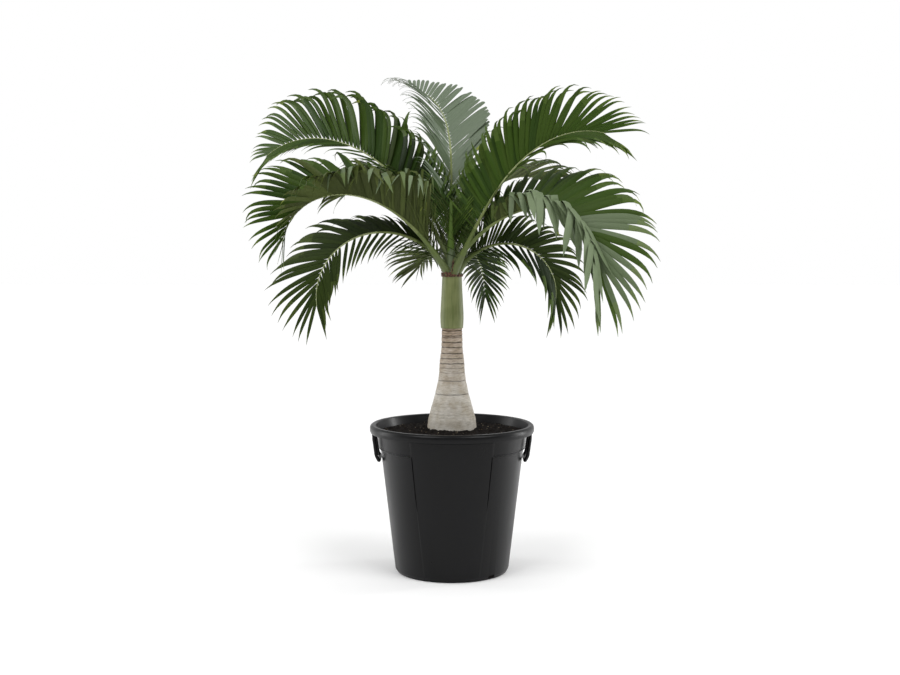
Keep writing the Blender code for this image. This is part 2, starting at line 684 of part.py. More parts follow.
def build_fronds(green, taken):
    ribs = build_ribs(taken)
    for name, frond in FRONDS.items():
        line = rib_of(frond)
        nodes = halves_of(name, frond)
        leaflets = {node: [] for node, _, _ in nodes}
        trees = {node: tree_of_mesh(ribs[node]) for node in leaflets}
        count = round(frond["length"] * (LEAFLET_LAST - frond["bare"]) / LEAFLET_SPACING)
        for i in range(count):
            place = (i + 0.5) / count
            for side in (1, -1):
                share = blend(frond["bare"], LEAFLET_LAST, place) + ROW_STAGGER * side
                node = [each for each, start, end in nodes if share > start][-1]
                sunk = is_sunk(trees[node], along_rib(line, share)[0])
                found = fitted_leaflet(frond, line, side, place, node, taken) if sunk else None
                if found:
                    taken.add(node, *found)
                    leaflets[node].append(mesh_of("leaflet", *found))
        for node, _, _ in nodes:
            placed("frond_" + node, joined(node, ribs[node], leaflets[node]), green)


def main():
    for thing in list(bpy.data.objects):
        bpy.data.objects.remove(thing)
    plastic = finish("black_plastic", "2b2b2d", 0.45)
    soil = finish("potting_soil", "2a211a", 0.95)
    bark = finish("ringed_bark", "8f8069", 0.85)
    green = finish("waxy_green", "7d9150", 0.4)
    fibre = finish("sheath_fibre", "6d4530", 0.9)
    leaf = finish("leaflet_green", "3f5a2c", 0.5)
    build_tub(plastic)
    build_handles(plastic)
    build_soil(soil)
    build_trunk(bark)
    build_shaft(green, fibre)
    taken = Taken()
    for name in ("crownshaft", "collar", "crown_heart"):
        taken.add_mesh(name, bpy.data.objects[name].data)
    build_fronds(leaf, taken)


main()
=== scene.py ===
"""A potted carpoxylon palm in a black nursery tub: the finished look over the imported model.

Metres, +Z up, the plant's front towards -Y. Fronds grow by the same rule as the plain model's, with finer
leaflets in place of its blades.
"""

import math
import random

import bmesh
import bpy
import numpy as np
from mathutils import Matrix, Vector, noise


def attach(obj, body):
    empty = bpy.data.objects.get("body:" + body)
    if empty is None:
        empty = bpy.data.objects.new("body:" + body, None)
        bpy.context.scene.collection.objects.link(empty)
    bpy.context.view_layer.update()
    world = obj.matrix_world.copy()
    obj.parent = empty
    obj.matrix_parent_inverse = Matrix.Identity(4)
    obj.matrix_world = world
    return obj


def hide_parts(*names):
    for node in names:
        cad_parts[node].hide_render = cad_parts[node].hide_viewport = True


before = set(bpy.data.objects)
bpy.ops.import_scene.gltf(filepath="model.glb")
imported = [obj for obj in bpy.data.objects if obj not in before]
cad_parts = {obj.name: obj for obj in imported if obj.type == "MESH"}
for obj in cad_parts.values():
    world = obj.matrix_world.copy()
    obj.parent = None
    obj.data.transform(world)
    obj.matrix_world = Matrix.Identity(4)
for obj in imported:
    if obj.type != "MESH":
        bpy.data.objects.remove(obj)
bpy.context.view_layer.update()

MM = 0.001

# Camera: where the photographer stood, fitted to the rim's ellipses and the trunk's axis
IMAGE_WIDTH = 900
FOCAL_PIXELS = 1400
SENSOR_WIDTH = 36
CAMERA_HEIGHT = 1.057
CAMERA_DISTANCE = 4.226
CAMERA_DIP = 4.64
AXIS_RIGHT_OF_MIDDLE = 2

# Light: a white room that is darker behind the camera, a broad soft light above on either side of the camera,
# and a tall strip at each side
ROOM_LIGHT = 0.75
ROOM_DARK_SIDE = 0.15
SOFT_LIGHTS = (("soft_left", (-0.72, -0.75, 1.05), 1.10), ("soft_right", (0.78, -0.75, 1.05), 1.20))
SOFT_LIGHT_SPREAD = 36
STRIPS = (("strip_left", (-2.9, 0.75, 0.8), 0.7, 26), ("strip_right", (2.9, 0.95, 0.8), 0.35, 34))
STRIP_HEIGHT = 2.0
FLOOR_SIZE = 40

# Tub
RIM_TOP = 0.451
RIM_RADIUS = 0.2495
RIM_UNDERSIDE = 0.4255
BAND_RADIUS = 0.2275
BAND_FOOT = 0.380
BODY_TOP = 0.3765
BODY_TOP_RADIUS = 0.2166
BODY_FOOT = 0.012
BODY_FOOT_RADIUS = 0.1735
FOOT_RADIUS = 0.163
TUB_WALL = 0.004
TUB_SIDES = 160
PANEL_HALF_ANGLE = 33.0
PANEL_FOOT_SHARE = 0.86
PANEL_PROUD = 0.0020
BAND_LIP = 0.0012
DRAIN_SLOT = (0.024, 0.030, 0.009)
DRAIN_SLOT_HEIGHT = 0.0090
DRAIN_SLOTS_AT = (-47, 73, 193)
GROOVE_HALF_WIDTH = 0.0021
GROOVE_DEPTH = 0.0054
GROOVE_TOP = 0.3785
GROOVE_LOW = 0.215

# Soil: its level from the middle to the wall, its clods, crumbs and grit
SOIL_TOP = 0.438
SOIL_LEVELS = ((0.0, SOIL_TOP), (0.082, SOIL_TOP), (0.130, 0.4335), (0.190, 0.4275), (0.2229, 0.425))
SOIL_RINGS = 70
SOIL_SIDES = 200
CLEAR = 0.0004
CLOD_SIZE = 0.017
CLOD_HEIGHT = 0.0058
CRUMB_SIZE = 0.005
CRUMB_HEIGHT = 0.0022
GRIT_COUNT = 170
GRIT_SIZE = (0.0018, 0.0042)

# Trunk: height above the floor and radius
TRUNK_FOOT = SOIL_TOP
TRUNK_TOP = 0.743
TRUNK_RINGS = 440
YOUNG_BARK_FROM = 0.54
TRUNK_TAPER = (
    (TRUNK_FOOT, 0.0747),
    (0.466, 0.0721),
    (0.506, 0.0616),
    (0.541, 0.0516),
    (0.584, 0.0420),
    (0.607, 0.0391),
    (0.638, 0.0376),
    (0.681, 0.0323),
    (TRUNK_TOP, 0.0308),
)

# Leaf scars up the trunk: height above the floor and how deep and dark each is, faint on the old foot
SCARS = (
    (0.4760, 0.18), (0.4846, 0.25), (0.4941, 0.15), (0.5082, 0.22), (0.5171, 0.12), (0.5439, 0.80), (0.5851, 0.70),
    (0.6090, 0.40), (0.6235, 0.55), (0.6370, 0.95), (0.6525, 0.75), (0.6677, 1.00), (0.6860, 1.00), (0.7010, 1.00),
    (0.7155, 0.70), (0.7205, 0.90), (0.7290, 0.45), (0.7360, 1.00),
)
SCAR_DEPTH = 0.0016
SCAR_WIDTH = 0.0014

# Crownshaft, collar and heart leaf
SHAFT_TOP = 0.901
COLLAR_TOP = 0.9133
COLLAR_RADIUS = 0.0315
WOUND_STRANDS = 150
TORN_STRANDS = 34
TORN_SIDE = math.radians(-72)
TORN_HEIGHTS = (0.905, 0.920, 0.935, 0.960)
TORN_RADII = (0.0320, 0.0270, 0.0200, 0.0150)
STRAND_ROUNDNESS = 0.35
FIBRE_LOW_SIDE = math.radians(-38)
HEART_TOP = 0.995
SHAFT_TAPER = ((0.7433, 0.0332), (0.757, 0.0348), (0.778, 0.0355), (0.855, 0.0314), (SHAFT_TOP, 0.0293))
HEART_TAPER = (
    (COLLAR_TOP, 0.0235),
    (0.922, 0.0165),
    (0.935, 0.0136),
    (0.960, 0.0128),
    (0.982, 0.0116),
    (HEART_TOP, 0.0080),
)
HEART_SHIFT = -0.0035

# Frond rib: share of its length from the seat, and radius
RIB_STATIONS = (0.0, 0.05, 0.10, 0.15, 0.3, 0.7, 1.0)
RIB_RADII = (0.0150, 0.0126, 0.0102, 0.0086, 0.0050, 0.0022, 0.0010)
HEEL_DROP = 0.011
HEEL_OUT = 0.0018
HEEL_BELOW = 0.93
RIB_SIDES = 10
RIB_STEPS = 240
RIB_RINGS = 60
RIB_SHADES = (
    ("petiole_green", "58633a"),
    ("rib_green", "586632"),
    ("rib_yellow_green", "707b47"),
    ("rib_pale", "97a070"),
    ("young_stalk_green", "4c6424"),
)
RIB_SHADES_FROM = (0.10, 0.22, 0.45)

# Leaflet
LEAFLET_SPACING = 0.0112
LEAFLET_WIDTH = 0.0185
LEAFLET_STEPS = 14
LEAFLET_LAST = 0.985
ROW_STAGGER = 0.003
FULL_LEAFLET = 0.19
OUTLINE_AT = (0.0, 0.06, 0.16, 0.40, 0.62, 0.78, 0.88, 1.0)
OUTLINE_WIDTH = dict(
    pointed=(0.45, 0.75, 0.95, 1.0, 0.88, 0.60, 0.28, 0.03),
    broad=(0.45, 0.75, 0.95, 1.0, 1.0, 0.92, 0.50, 0.03),
    blunt=(0.55, 0.72, 0.84, 0.94, 1.0, 1.0, 1.0, 0.55),
)
NOD = 1.0
NOD_FROM = 7
SLIM_UNTIL = 0.30
FOLD = 13
STRAND_FROM = 0.06
STRAND_PAST_BARE = 0.08
STRAND_SPACING = 0.0045
STRAND_WIDTH = 0.26

# Fronds, by the plain model's rule: angles in degrees, lengths in metres
PLAIN_ROW = dict(crease=1.0, sag=3, nod=1.0, wide=(0.5, 0.85, 1.0), slim=0.72, louver=18, sway=0, outline="pointed",
                 tone="deep", under="under", every=1, sparse_until=0, first=0)
FRONDS = {
    "front_right_high": dict(
        seat=(0.008, -0.0155, 0.9135), heading=-16, rise=64.5, fall=-16, bend=2.45, length=0.662, sweep=2,
        bare=0.12, spacing=0.0090,
        left=dict(stand=(60, 90, 90, 90, 60), spread=(80, 64, 52, 40, 18),
                  reach=(0.140, 0.182, 0.202, 0.200, 0.140),
                  crease=(0.85, 0.86, 0.87, 0.95, 1.5), sag=6, wide=(0.7, 0.85, 1.1, 1.0, 0.8), nod=0.8, sway=0.8,
                  tone=("deep", "bright", "bright", "sunlit", "sunlit")),
        right=dict(stand=(-8, -14, -40, -70), spread=(40, 36, 32, 24), reach=(0.10, 0.16, 0.19, 0.14),
                   crease=(0.95, 0.95, 1.1, 1.6), wide=(0.7, 0.7, 0.75, 1.0), louver=-10,
                   every=4, sparse_until=0.65, first=0.25, tone=("deep", "deep", "sunlit")),
    ),
    "front_left_middle": dict(
        seat=(-0.0155, -0.0105, 0.915), heading=185, rise=56, fall=-79, bend=1.77, length=0.67, sweep=41,
        bare=0.15,
        left=dict(stand=(80, 8), spread=(43, 57, 54, 38, 24), reach=(0.265, 0.195, 0.190, 0.185, 0.110),
                  crease=(0.80, 0.68, 0.66, 1.20, 1.60), sag=8, wide=(0.4, 1.15, 1.15, 1.0, 0.85), slim=0.3,
                  outline="broad", tone=("roof", "sage", "roof", "roof", "roof", "olive", "olive", "olive", "sunlit")),
        right=dict(stand=(22, 80), spread=(60, 60, 50, 40, 20),
                   reach=(0.165, 0.20, 0.225, 0.225, 0.218, 0.232, 0.205, 0.155, 0.11),
                   crease=(1.37, 1.37, 1.37, 1.7, 2.0), wide=(1.0, 1.1, 1.1),
                   tone=("deep", "olive", "olive", "sunlit")),
    ),
    "right_low": dict(
        seat=(0.0185, 0.0, 0.917), heading=13, rise=54, fall=-97, bend=1.12, length=0.438, sweep=-10,
        bare=0.15,
        left=dict(stand=(69, 71), spread=(50, 50, 44, 32, 10), reach=(0.10, 0.145, 0.165, 0.160, 0.14),
                  crease=1.15, wide=(0.85, 1.05), tone="dark"),
        right=dict(stand=(-42, -62), spread=(62, 60, 50, 32, 8), reach=(0.11, 0.14, 0.15, 0.15, 0.14),
                   crease=(0.8, 0.9, 1.0), wide=(0.8, 0.8, 1.1), nod=0.5, louver=-5, every=2, sparse_until=0.6,
                   tone="shade"),
    ),
    "left_low": dict(
        seat=(-0.0165, 0.003, 0.919), heading=175, rise=57, fall=-98, bend=1.12, length=0.573, sweep=32,
        bare=0.15,
        left=dict(stand=(-40, -50, -56, -60, -64), spread=(62, 62, 56, 42, 14),
                  reach=(0.10, 0.125, 0.135, 0.135, 0.12),
                  crease=0.9, wide=(0.75, 0.75, 0.9), nod=0.5, louver=-5, every=2, sparse_until=0.6,
                  tone="dark"),
        right=dict(stand=(18, 56), spread=(45, 52, 55, 50, 14), reach=(0.12, 0.185, 0.215, 0.220, 0.14),
                   crease=1.22, wide=1.0, nod=0.5, tone="dark"),
    ),
    "rear_right_drooping": dict(
        seat=(0.010, 0.0155, 0.923), heading=71.5, rise=35, fall=-75, bend=1.09, length=0.423, sweep=6.5,
        bare=0.28, stout=0.7,
        left=dict(stand=(20, 10), spread=(56, 54, 46, 32, 12), reach=(0.10, 0.125, 0.130, 0.125, 0.11),
                  crease=1.1, wide=0.78, slim=0.3, nod=0.5, tone="shade", under="shade"),
        right=dict(stand=(10, 6), spread=(56, 54, 46, 32, 12), reach=(0.10, 0.125, 0.130, 0.125, 0.11),
                   crease=1.1, wide=0.78, slim=0.3, nod=0.5, tone="shade", under="shade"),
    ),
    "rear_left_drooping": dict(
        seat=(-0.007, 0.0165, 0.923), heading=110, rise=42, fall=-45, bend=1.0, length=0.27, sweep=14,
        bare=0.30, stout=0.8,
        left=dict(stand=(12, -5), spread=(60, 55, 46, 32, 14), reach=(0.13, 0.17, 0.17, 0.14, 0.10),
                  crease=1.2, wide=1.0, nod=0.5, tone="dark"),
        right=dict(stand=(25, 15), spread=(55, 50, 42, 30, 14), reach=(0.10, 0.13, 0.13, 0.11, 0.08),
                   crease=0.8, wide=1.0, nod=0.5, tone="dark"),
    ),
    "front_right_middle": dict(
        seat=(0.011, -0.003, 0.946), heading=-24, rise=48.5, fall=-83, bend=1.5, length=0.65, sweep=-44,
        bare=0.20, stout=0.8,
        left=dict(stand=(44, 36), spread=(84, 74, 60, 40, 10), reach=(0.19, 0.25, 0.255, 0.24, 0.215),
                  crease=1.43, wide=1.25, tone=("shade", "deep", "deep", "sunlit", "sunlit", "pale", "pale", "pale_sunlit")),
        right=dict(stand=(64, 54, 46, 40, 24), spread=(60, 60, 62, 50, 8),
                   reach=(0.12, 0.185, 0.220, 0.225, 0.21),
                   crease=(0.52, 0.44, 0.34, 0.32, 0.8), sag=5, sway=0.3, wide=(0.9, 1.3, 1.3, 1.2), louver=-20,
                   slim=0.6, outline="broad", first=0.08,
                   tone=("dark", "dark", "sage", "sage", "sage", "sage", "sage", "sage", "pale")),
    ),
    "left_high": dict(
        seat=(-0.0085, 0.0035, 0.951), heading=159, rise=62, fall=-33, bend=1.6, length=0.829, sweep=-13,
        bare=0.10, stout=0.75,
        left=dict(stand=(-4, -20, -50, -75), spread=(32, 28, 25, 22), reach=(0.09, 0.12, 0.15, 0.13),
                  crease=(1.0, 1.0, 1.2, 1.6), wide=(0.5, 0.5, 0.6, 1.0), nod=0.4, louver=-10,
                  every=4, sparse_until=0.55, tone=("shade", "deep", "sunlit")),
        right=dict(stand=(82, 90, 90, 90, 60), spread=(74, 66, 58, 46, 20),
                   reach=(0.150, 0.200, 0.228, 0.210, 0.11),
                   crease=(0.80, 0.86, 0.87, 0.95, 1.4), sag=6, wide=(1.2, 1.45, 1.4, 1.2, 0.9), nod=0.8, sway=0.9,
                   first=0.05,
                   tone=("shade", "shade", "deep", "bright", "sunlit", "sunlit")),
    ),
    "rear_middle": dict(
        seat=(0.002, 0.010, 0.950), heading=88, rise=62, fall=-62, bend=1.35, length=0.58, sweep=-4,
        bare=0.12, stout=0.7,
        left=dict(stand=(30, 30), spread=(58, 47, 20), reach=(0.11, 0.175, 0.18, 0.165, 0.135)),
        right=dict(stand=(30, 30), spread=(58, 47, 20), reach=(0.11, 0.175, 0.18, 0.165, 0.135)),
    ),
    "rear_left_high": dict(
        seat=(-0.006, 0.006, 0.955), heading=138, rise=66, fall=-40, bend=1.5, length=0.56, sweep=6,
        bare=0.08, stout=0.7,
        left=dict(stand=(35, 30), spread=(58, 47, 20), reach=(0.11, 0.175, 0.18, 0.165, 0.135)),
        right=dict(stand=(35, 30), spread=(58, 47, 20), reach=(0.11, 0.175, 0.18, 0.165, 0.135)),
    ),
    "rear_right_high": dict(
        seat=(0.006, 0.006, 0.955), heading=42, rise=66, fall=-40, bend=1.5, length=0.57, sweep=-6,
        bare=0.08, stout=0.7,
        left=dict(stand=(35, 30), spread=(58, 47, 20), reach=(0.11, 0.175, 0.18, 0.165, 0.135)),
        right=dict(stand=(35, 30), spread=(58, 47, 20), reach=(0.11, 0.175, 0.18, 0.165, 0.135)),
    ),
    "top_centre": dict(
        seat=(-0.004, -0.002, 0.966), heading=84.5, rise=92.5, fall=14, bend=0.92, length=0.743, sweep=55,
        bare=0.06, young_stalk=0.3, stout=0.8,
        left=dict(stand=(31, 22), spread=(40, 39, 38, 40, 50), reach=(0.11, 0.19, 0.205, 0.165, 0.11),
                  crease=(1.25, 1.25, 1.25, 1.1, 0.7), wide=(0.6, 0.66, 0.62, 0.65), louver=0, nod=0.7,
                  tone=("deep", "shaded_young", "shaded_young", "young")),
        right=dict(stand=(27, 21), spread=(40, 42, 60, 52, 36), reach=(0.11, 0.155, 0.158, 0.120, 0.07),
                   crease=2.0, wide=(0.65, 0.8, 1.3, 1.15), louver=0, nod=0.1, outline="blunt",
                   tone=("deep", "young", "young", "young")),
    ),
}


# Greens of the leaflets: name, colour, roughness and gloss, and which of them each tone draws from
# The shaded and sunlit greens are painted shade and painted sunlight; the sage and young greens hold painted sheen over
# the leaves' own colour
LEAF_SHADES = (
    ("deep_green", "2a400f", 0.44, 0.15),
    ("mid_green", "374c14", 0.44, 0.15),
    ("bright_green", "334a10", 0.44, 0.15),
    ("shaded_green", "2c3a10", 0.45, 0.12),
    ("dark_green", "22300a", 0.45, 0.12),
    ("deep_shade_green", "1c2c0c", 0.42, 0.16),
    # young green: the young frond's own grey-green with painted sheen of the light off its glossy upper side
    ("young_green_and_sheen", "63725a", 0.45, 0.5),
    # young deep green: a darker copy of the young green, painted shade for the young frond's shaded row
    ("young_deep_green", "4a5b3d", 0.45, 0.4),
    ("pale_grey_green", "5a6a48", 0.45, 0.4),
    # sage: the leaves' waxy bloom with painted sheen of the overhead light off the upper sides
    ("sage_bloom_and_sheen", "6f7f5d", 0.50, 0.4),
    ("olive_green", "434f1c", 0.45, 0.25),
    ("olive_underside", "4b5626", 0.60, 0.2),
    ("dark_underside", "3a431a", 0.60, 0.2),
    ("yellow_green", "7f8a2e", 0.45, 0.3),
    ("tip_green", "425818", 0.42, 0.25),
    ("tip_olive", "4e5926", 0.45, 0.25),
    ("tip_dark", "3d4b1a", 0.45, 0.15),
    ("tip_sunlit", "61732f", 0.45, 0.2),
    ("tip_pale", "5f7040", 0.45, 0.35),
)
TIP_SHADES = {
    "deep_green": "tip_green",
    "mid_green": "tip_green",
    "bright_green": "tip_green",
    "shaded_green": "tip_dark",
    "dark_green": "tip_dark",
    "deep_shade_green": "tip_green",
    "olive_green": "tip_olive",
    "pale_grey_green": "tip_pale",
}
TONES = {
    "deep": ("deep_green", "deep_green", "mid_green", "shaded_green"),
    "bright": ("bright_green", "mid_green", "deep_green"),
    "sunlit": ("bright_green", "mid_green", "mid_green"),
    "shade": ("deep_shade_green", "dark_green", "deep_green", "deep_shade_green"),
    "roof": ("sage_bloom_and_sheen", "olive_green", "olive_green", "pale_grey_green"),
    "pale_sunlit": ("pale_grey_green", "mid_green", "mid_green"),
    "dark": ("shaded_green", "dark_green", "shaded_green"),
    "young": ("young_green_and_sheen",),
    "shaded_young": ("young_deep_green", "young_deep_green", "young_green_and_sheen"),
    "pale": ("pale_grey_green", "pale_grey_green", "mid_green"),
    "sage": ("sage_bloom_and_sheen",),
    "olive": ("olive_green", "mid_green", "deep_green"),
    "under": ("olive_underside", "dark_underside"),
}
YELLOW_TIPS = 0.06
SUNLIT_TIPS = 0.6
PLACE_POWER = 1.5


def linear(value):
    """One sRGB channel, 0 to 1, as linear light."""
    return value / 12.92 if value <= 0.04045 else ((value + 0.055) / 1.055) ** 2.4


def colour(code):
    """An sRGB hex colour as a linear one with alpha."""
    return (*[linear(int(code[i : i + 2], 16) / 255) for i in (0, 2, 4)], 1)


def add(tree, kind, settings=None, **links):
    """A node with its settings, where links gives each input a value or another node's output."""
    node = tree.nodes.new("ShaderNode" + kind)
    for name, value in (settings or {}).items():
        setattr(node, name, value)
    for name, value in links.items():
        socket = node.inputs[int(name[1:]) if name[0] == "_" else name.replace("_", " ")]
        if isinstance(value, bpy.types.NodeSocket):
            tree.links.new(value, socket)
        else:
            socket.default_value = value
    return node


def finish(name, base, roughness, **sockets):
    """A material with its Principled shader's constants set, and that shader and its tree."""
    material = bpy.data.materials.new(name)
    material.use_nodes = True
    shader = material.node_tree.nodes["Principled BSDF"]
    shader.inputs["Base Color"].default_value = colour(base)
    shader.inputs["Roughness"].default_value = roughness
    for socket, value in sockets.items():
        shader.inputs[socket.replace("_", " ")].default_value = value
    return material, shader, material.node_tree


def ramp(tree, factor, stops):
    node = add(tree, "ValToRGB", Fac=factor)
    elements = node.color_ramp.elements
    while len(elements) < len(stops):
        elements.new(0.5)
    for element, (place, code) in zip(elements, stops):
        element.position = place
        element.color = colour(code)
    return node.outputs["Color"]


def moulded_plastic():
    # Recycled polypropylene, injection moulded: satin black, faintly grained, with duller smears down its sides
    material, shader, tree = finish("moulded_black_polypropylene", "070708", 0.34, IOR=1.30)
    place = add(tree, "TexCoord").outputs["Object"]
    grain = add(tree, "TexNoise", Vector=place, Scale=1 / (1.2 * MM), Detail=3.0)
    upright = add(tree, "Mapping", Vector=place, Scale=(1, 1, 0.25))
    smears = add(tree, "TexNoise", Vector=upright.outputs["Vector"], Scale=1 / (70 * MM), Detail=4.0)
    tint = ramp(tree, smears.outputs["Fac"], ((0.35, "050506"), (0.75, "0a0a0c")))
    tree.links.new(tint, shader.inputs["Base Color"])
    wear = add(tree, "MapRange", Value=smears.outputs["Fac"], From_Min=0.3, From_Max=0.7, To_Min=0.27, To_Max=0.42)
    tree.links.new(wear.outputs["Result"], shader.inputs["Roughness"])
    bump = add(tree, "Bump", Height=grain.outputs["Fac"], Strength=0.12, Distance=0.2 * MM)
    tree.links.new(bump.outputs["Normal"], shader.inputs["Normal"])
    return material


def potting_soil():
    # Damp peat and bark fines: nearly black and matt, paler on the raised clods and darker between them, from the same
    # noise that raises them
    material, shader, tree = finish("damp_potting_mix", "1a1410", 0.95, Specular_IOR_Level=0.15)
    place = add(tree, "TexCoord").outputs["Object"]
    clods = add(tree, "TexNoise", Vector=place, Scale=1 / (9 * MM), Detail=8.0, Roughness=0.7)
    tint = ramp(tree, clods.outputs["Fac"], ((0.35, "070504"), (0.55, "120d0a"), (0.75, "2b2119")))
    tree.links.new(tint, shader.inputs["Base Color"])
    bump = add(tree, "Bump", Height=clods.outputs["Fac"], Strength=0.9, Distance=4 * MM)
    tree.links.new(bump.outputs["Normal"], shader.inputs["Normal"])
    return material


def pale_grit():
    # Washed grit and bark crumbs in the mix: dusty tan to grey stone, matt
    material, shader, tree = finish("washed_grit", "6f6452", 0.9)
    place = add(tree, "TexCoord").outputs["Object"]
    shade = add(tree, "TexNoise", Vector=place, Scale=1 / (7 * MM), Detail=2.0)
    tint = ramp(tree, shade.outputs["Fac"], ((0.38, "2a2018"), (0.52, "5d5140"), (0.68, "a2957f")))
    tree.links.new(tint, shader.inputs["Base Color"])
    return material


def ringed_bark():
    # Weathered palm trunk: pale grey and finely striated along the rings on the swollen foot, tan and rosier
    # on the younger part above, with dark leaf scars and short dark flecks
    material, shader, tree = finish("ringed_palm_bark", "b0aaa0", 0.85, Specular_IOR_Level=0.2)
    place = add(tree, "TexCoord").outputs["Object"]
    squeezed = add(tree, "Mapping", Vector=place, Scale=(1, 1, 9)).outputs["Vector"]
    fibres = add(tree, "TexNoise", Vector=squeezed, Scale=1 / (14 * MM), Detail=6.0).outputs["Fac"]
    blotches = add(tree, "TexNoise", Vector=place, Scale=1 / (28 * MM), Detail=4.0).outputs["Fac"]
    flecks = add(tree, "TexNoise", Vector=squeezed, Scale=1 / (5 * MM), Detail=2.0).outputs["Fac"]
    old = ramp(tree, fibres, ((0.30, "a39e94"), (0.45, "bcb7ad"), (0.70, "cdc8bf")))
    young = ramp(tree, fibres, ((0.30, "715f4e"), (0.48, "9c8b79"), (0.70, "baab9b")))
    height = add(tree, "SeparateXYZ", Vector=place).outputs["Z"]
    share = add(tree, "MapRange", Value=height, From_Min=YOUNG_BARK_FROM, From_Max=TRUNK_TOP)
    bark = add(tree, "MixRGB", Fac=share.outputs["Result"], Color1=old, Color2=young).outputs["Color"]
    stain = ramp(tree, blotches, ((0.35, "d8d0c2"), (0.6, "ffffff")))
    bark = add(tree, "MixRGB", {"blend_type": "MULTIPLY"}, Fac=0.7, Color1=bark, Color2=stain).outputs["Color"]
    spots = add(tree, "MapRange", Value=flecks, From_Min=0.66, From_Max=0.72).outputs["Result"]
    bark = add(tree, "MixRGB", Fac=spots, Color1=bark, Color2=colour("5a5044")).outputs["Color"]
    scars = add(tree, "VertexColor", {"layer_name": "scar"}).outputs["Color"]
    scar = add(tree, "MixRGB", Fac=share.outputs["Result"], Color1=colour("5c5953"), Color2=colour("1e130d"))
    bark = add(tree, "MixRGB", Fac=scars, Color1=bark, Color2=scar.outputs["Color"]).outputs["Color"]
    tree.links.new(bark, shader.inputs["Base Color"])
    bump = add(tree, "Bump", Height=fibres, Strength=0.5, Distance=0.8 * MM)
    tree.links.new(bump.outputs["Normal"], shader.inputs["Normal"])
    return material


def waxy_sheath(name, low, high, roughness=0.38):
    # A living leaf sheath: smooth and waxy, with faint streaks along it and a soft gloss
    material, shader, tree = finish(name, low, roughness, IOR=1.45)
    place = add(tree, "TexCoord").outputs["Object"]
    stretched = add(tree, "Mapping", Vector=place, Scale=(1, 1, 0.08))
    streaks = add(tree, "TexNoise", Vector=stretched.outputs["Vector"], Scale=1 / (6 * MM), Detail=4.0)
    clouds = add(tree, "TexNoise", Vector=place, Scale=1 / (60 * MM), Detail=2.0)
    share = add(tree, "Math", {"operation": "ADD"}, _0=streaks.outputs["Fac"], _1=clouds.outputs["Fac"])
    half = add(tree, "Math", {"operation": "MULTIPLY"}, _0=share.outputs["Value"], _1=0.5)
    tree.links.new(ramp(tree, half.outputs["Value"], ((0.35, low), (0.62, high))), shader.inputs["Base Color"])
    return material


def sheath_fibre():
    # Dry, torn sheath fibre: red-brown and matt
    material, shader, tree = finish("dry_sheath_fibre", "6b4330", 0.9)
    place = add(tree, "TexCoord").outputs["Object"]
    strands = add(tree, "TexNoise", Vector=place, Scale=1 / (4 * MM), Detail=6.0)
    tint = ramp(tree, strands.outputs["Fac"], ((0.35, "22150e"), (0.5, "4a3022"), (0.66, "76503b")))
    tree.links.new(tint, shader.inputs["Base Color"])
    bump = add(tree, "Bump", Height=strands.outputs["Fac"], Strength=1.0, Distance=1.5 * MM)
    tree.links.new(bump.outputs["Normal"], shader.inputs["Normal"])
    return material


def leaf_blade(name, base, roughness, gloss):
    # A leathery palm leaflet: its wax gives a broad soft gloss over fine veins that run its whole length
    material, shader, tree = finish(name, base, roughness, Specular_IOR_Level=gloss)
    place = add(tree, "TexCoord").outputs["UV"]
    veins = add(tree, "TexWave", {"bands_direction": "X"}, Vector=place, Scale=6.0, Distortion=0.0)
    bump = add(tree, "Bump", Height=veins.outputs["Fac"], Strength=0.25, Distance=0.3 * MM)
    tree.links.new(bump.outputs["Normal"], shader.inputs["Normal"])
    return material


def blend(first, last, share):
    return first + (last - first) * share


def unit(vectors):
    return vectors / np.linalg.norm(vectors, axis=-1, keepdims=True)


def piece_of(name, bm, material, *replaced, smooth=40):
    """A finished piece from a bmesh: shaded, riding on the plant, and standing for the CAD nodes named."""
    mesh = bpy.data.meshes.new(name)
    bm.to_mesh(mesh)
    bm.free()
    mesh.shade_smooth()
    mesh.set_sharp_from_angle(angle=math.radians(smooth))
    mesh.materials.append(material)
    piece = bpy.data.objects.new(name, mesh)
    bpy.context.scene.collection.objects.link(piece)
    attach(piece, "root")
    if replaced:
        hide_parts(*replaced)
    return piece


def turned(profile, sides):
    """A bmesh turned about Z from (radius, height) points."""
    bm = bmesh.new()
    points = [bm.verts.new((radius, 0, height)) for radius, height in profile]
    for first, second in zip(points, points[1:]):
        bm.edges.new((first, second))
    outline = bm.verts[:] + bm.edges[:]
    bmesh.ops.spin(bm, geom=outline, axis=(0, 0, 1), angle=math.tau, steps=sides, use_merge=True)
    bmesh.ops.remove_doubles(bm, verts=bm.verts, dist=1e-6)
    bmesh.ops.recalc_face_normals(bm, faces=bm.faces)
    return bm


def inner_wall():
    return [
        (BODY_FOOT_RADIUS - TUB_WALL, BODY_FOOT),
        (BODY_TOP_RADIUS - TUB_WALL, BODY_TOP - TUB_WALL),
        (0.2219 - TUB_WALL, BAND_FOOT - 0.002),
        (BAND_RADIUS - TUB_WALL, RIM_UNDERSIDE),
    ]


def panel_edge(height):
    """The front panel's half angle in degrees at a height: it narrows towards the foot."""
    return PANEL_HALF_ANGLE * float(np.interp(height, (BODY_FOOT, BODY_TOP), (PANEL_FOOT_SHARE, 1)))


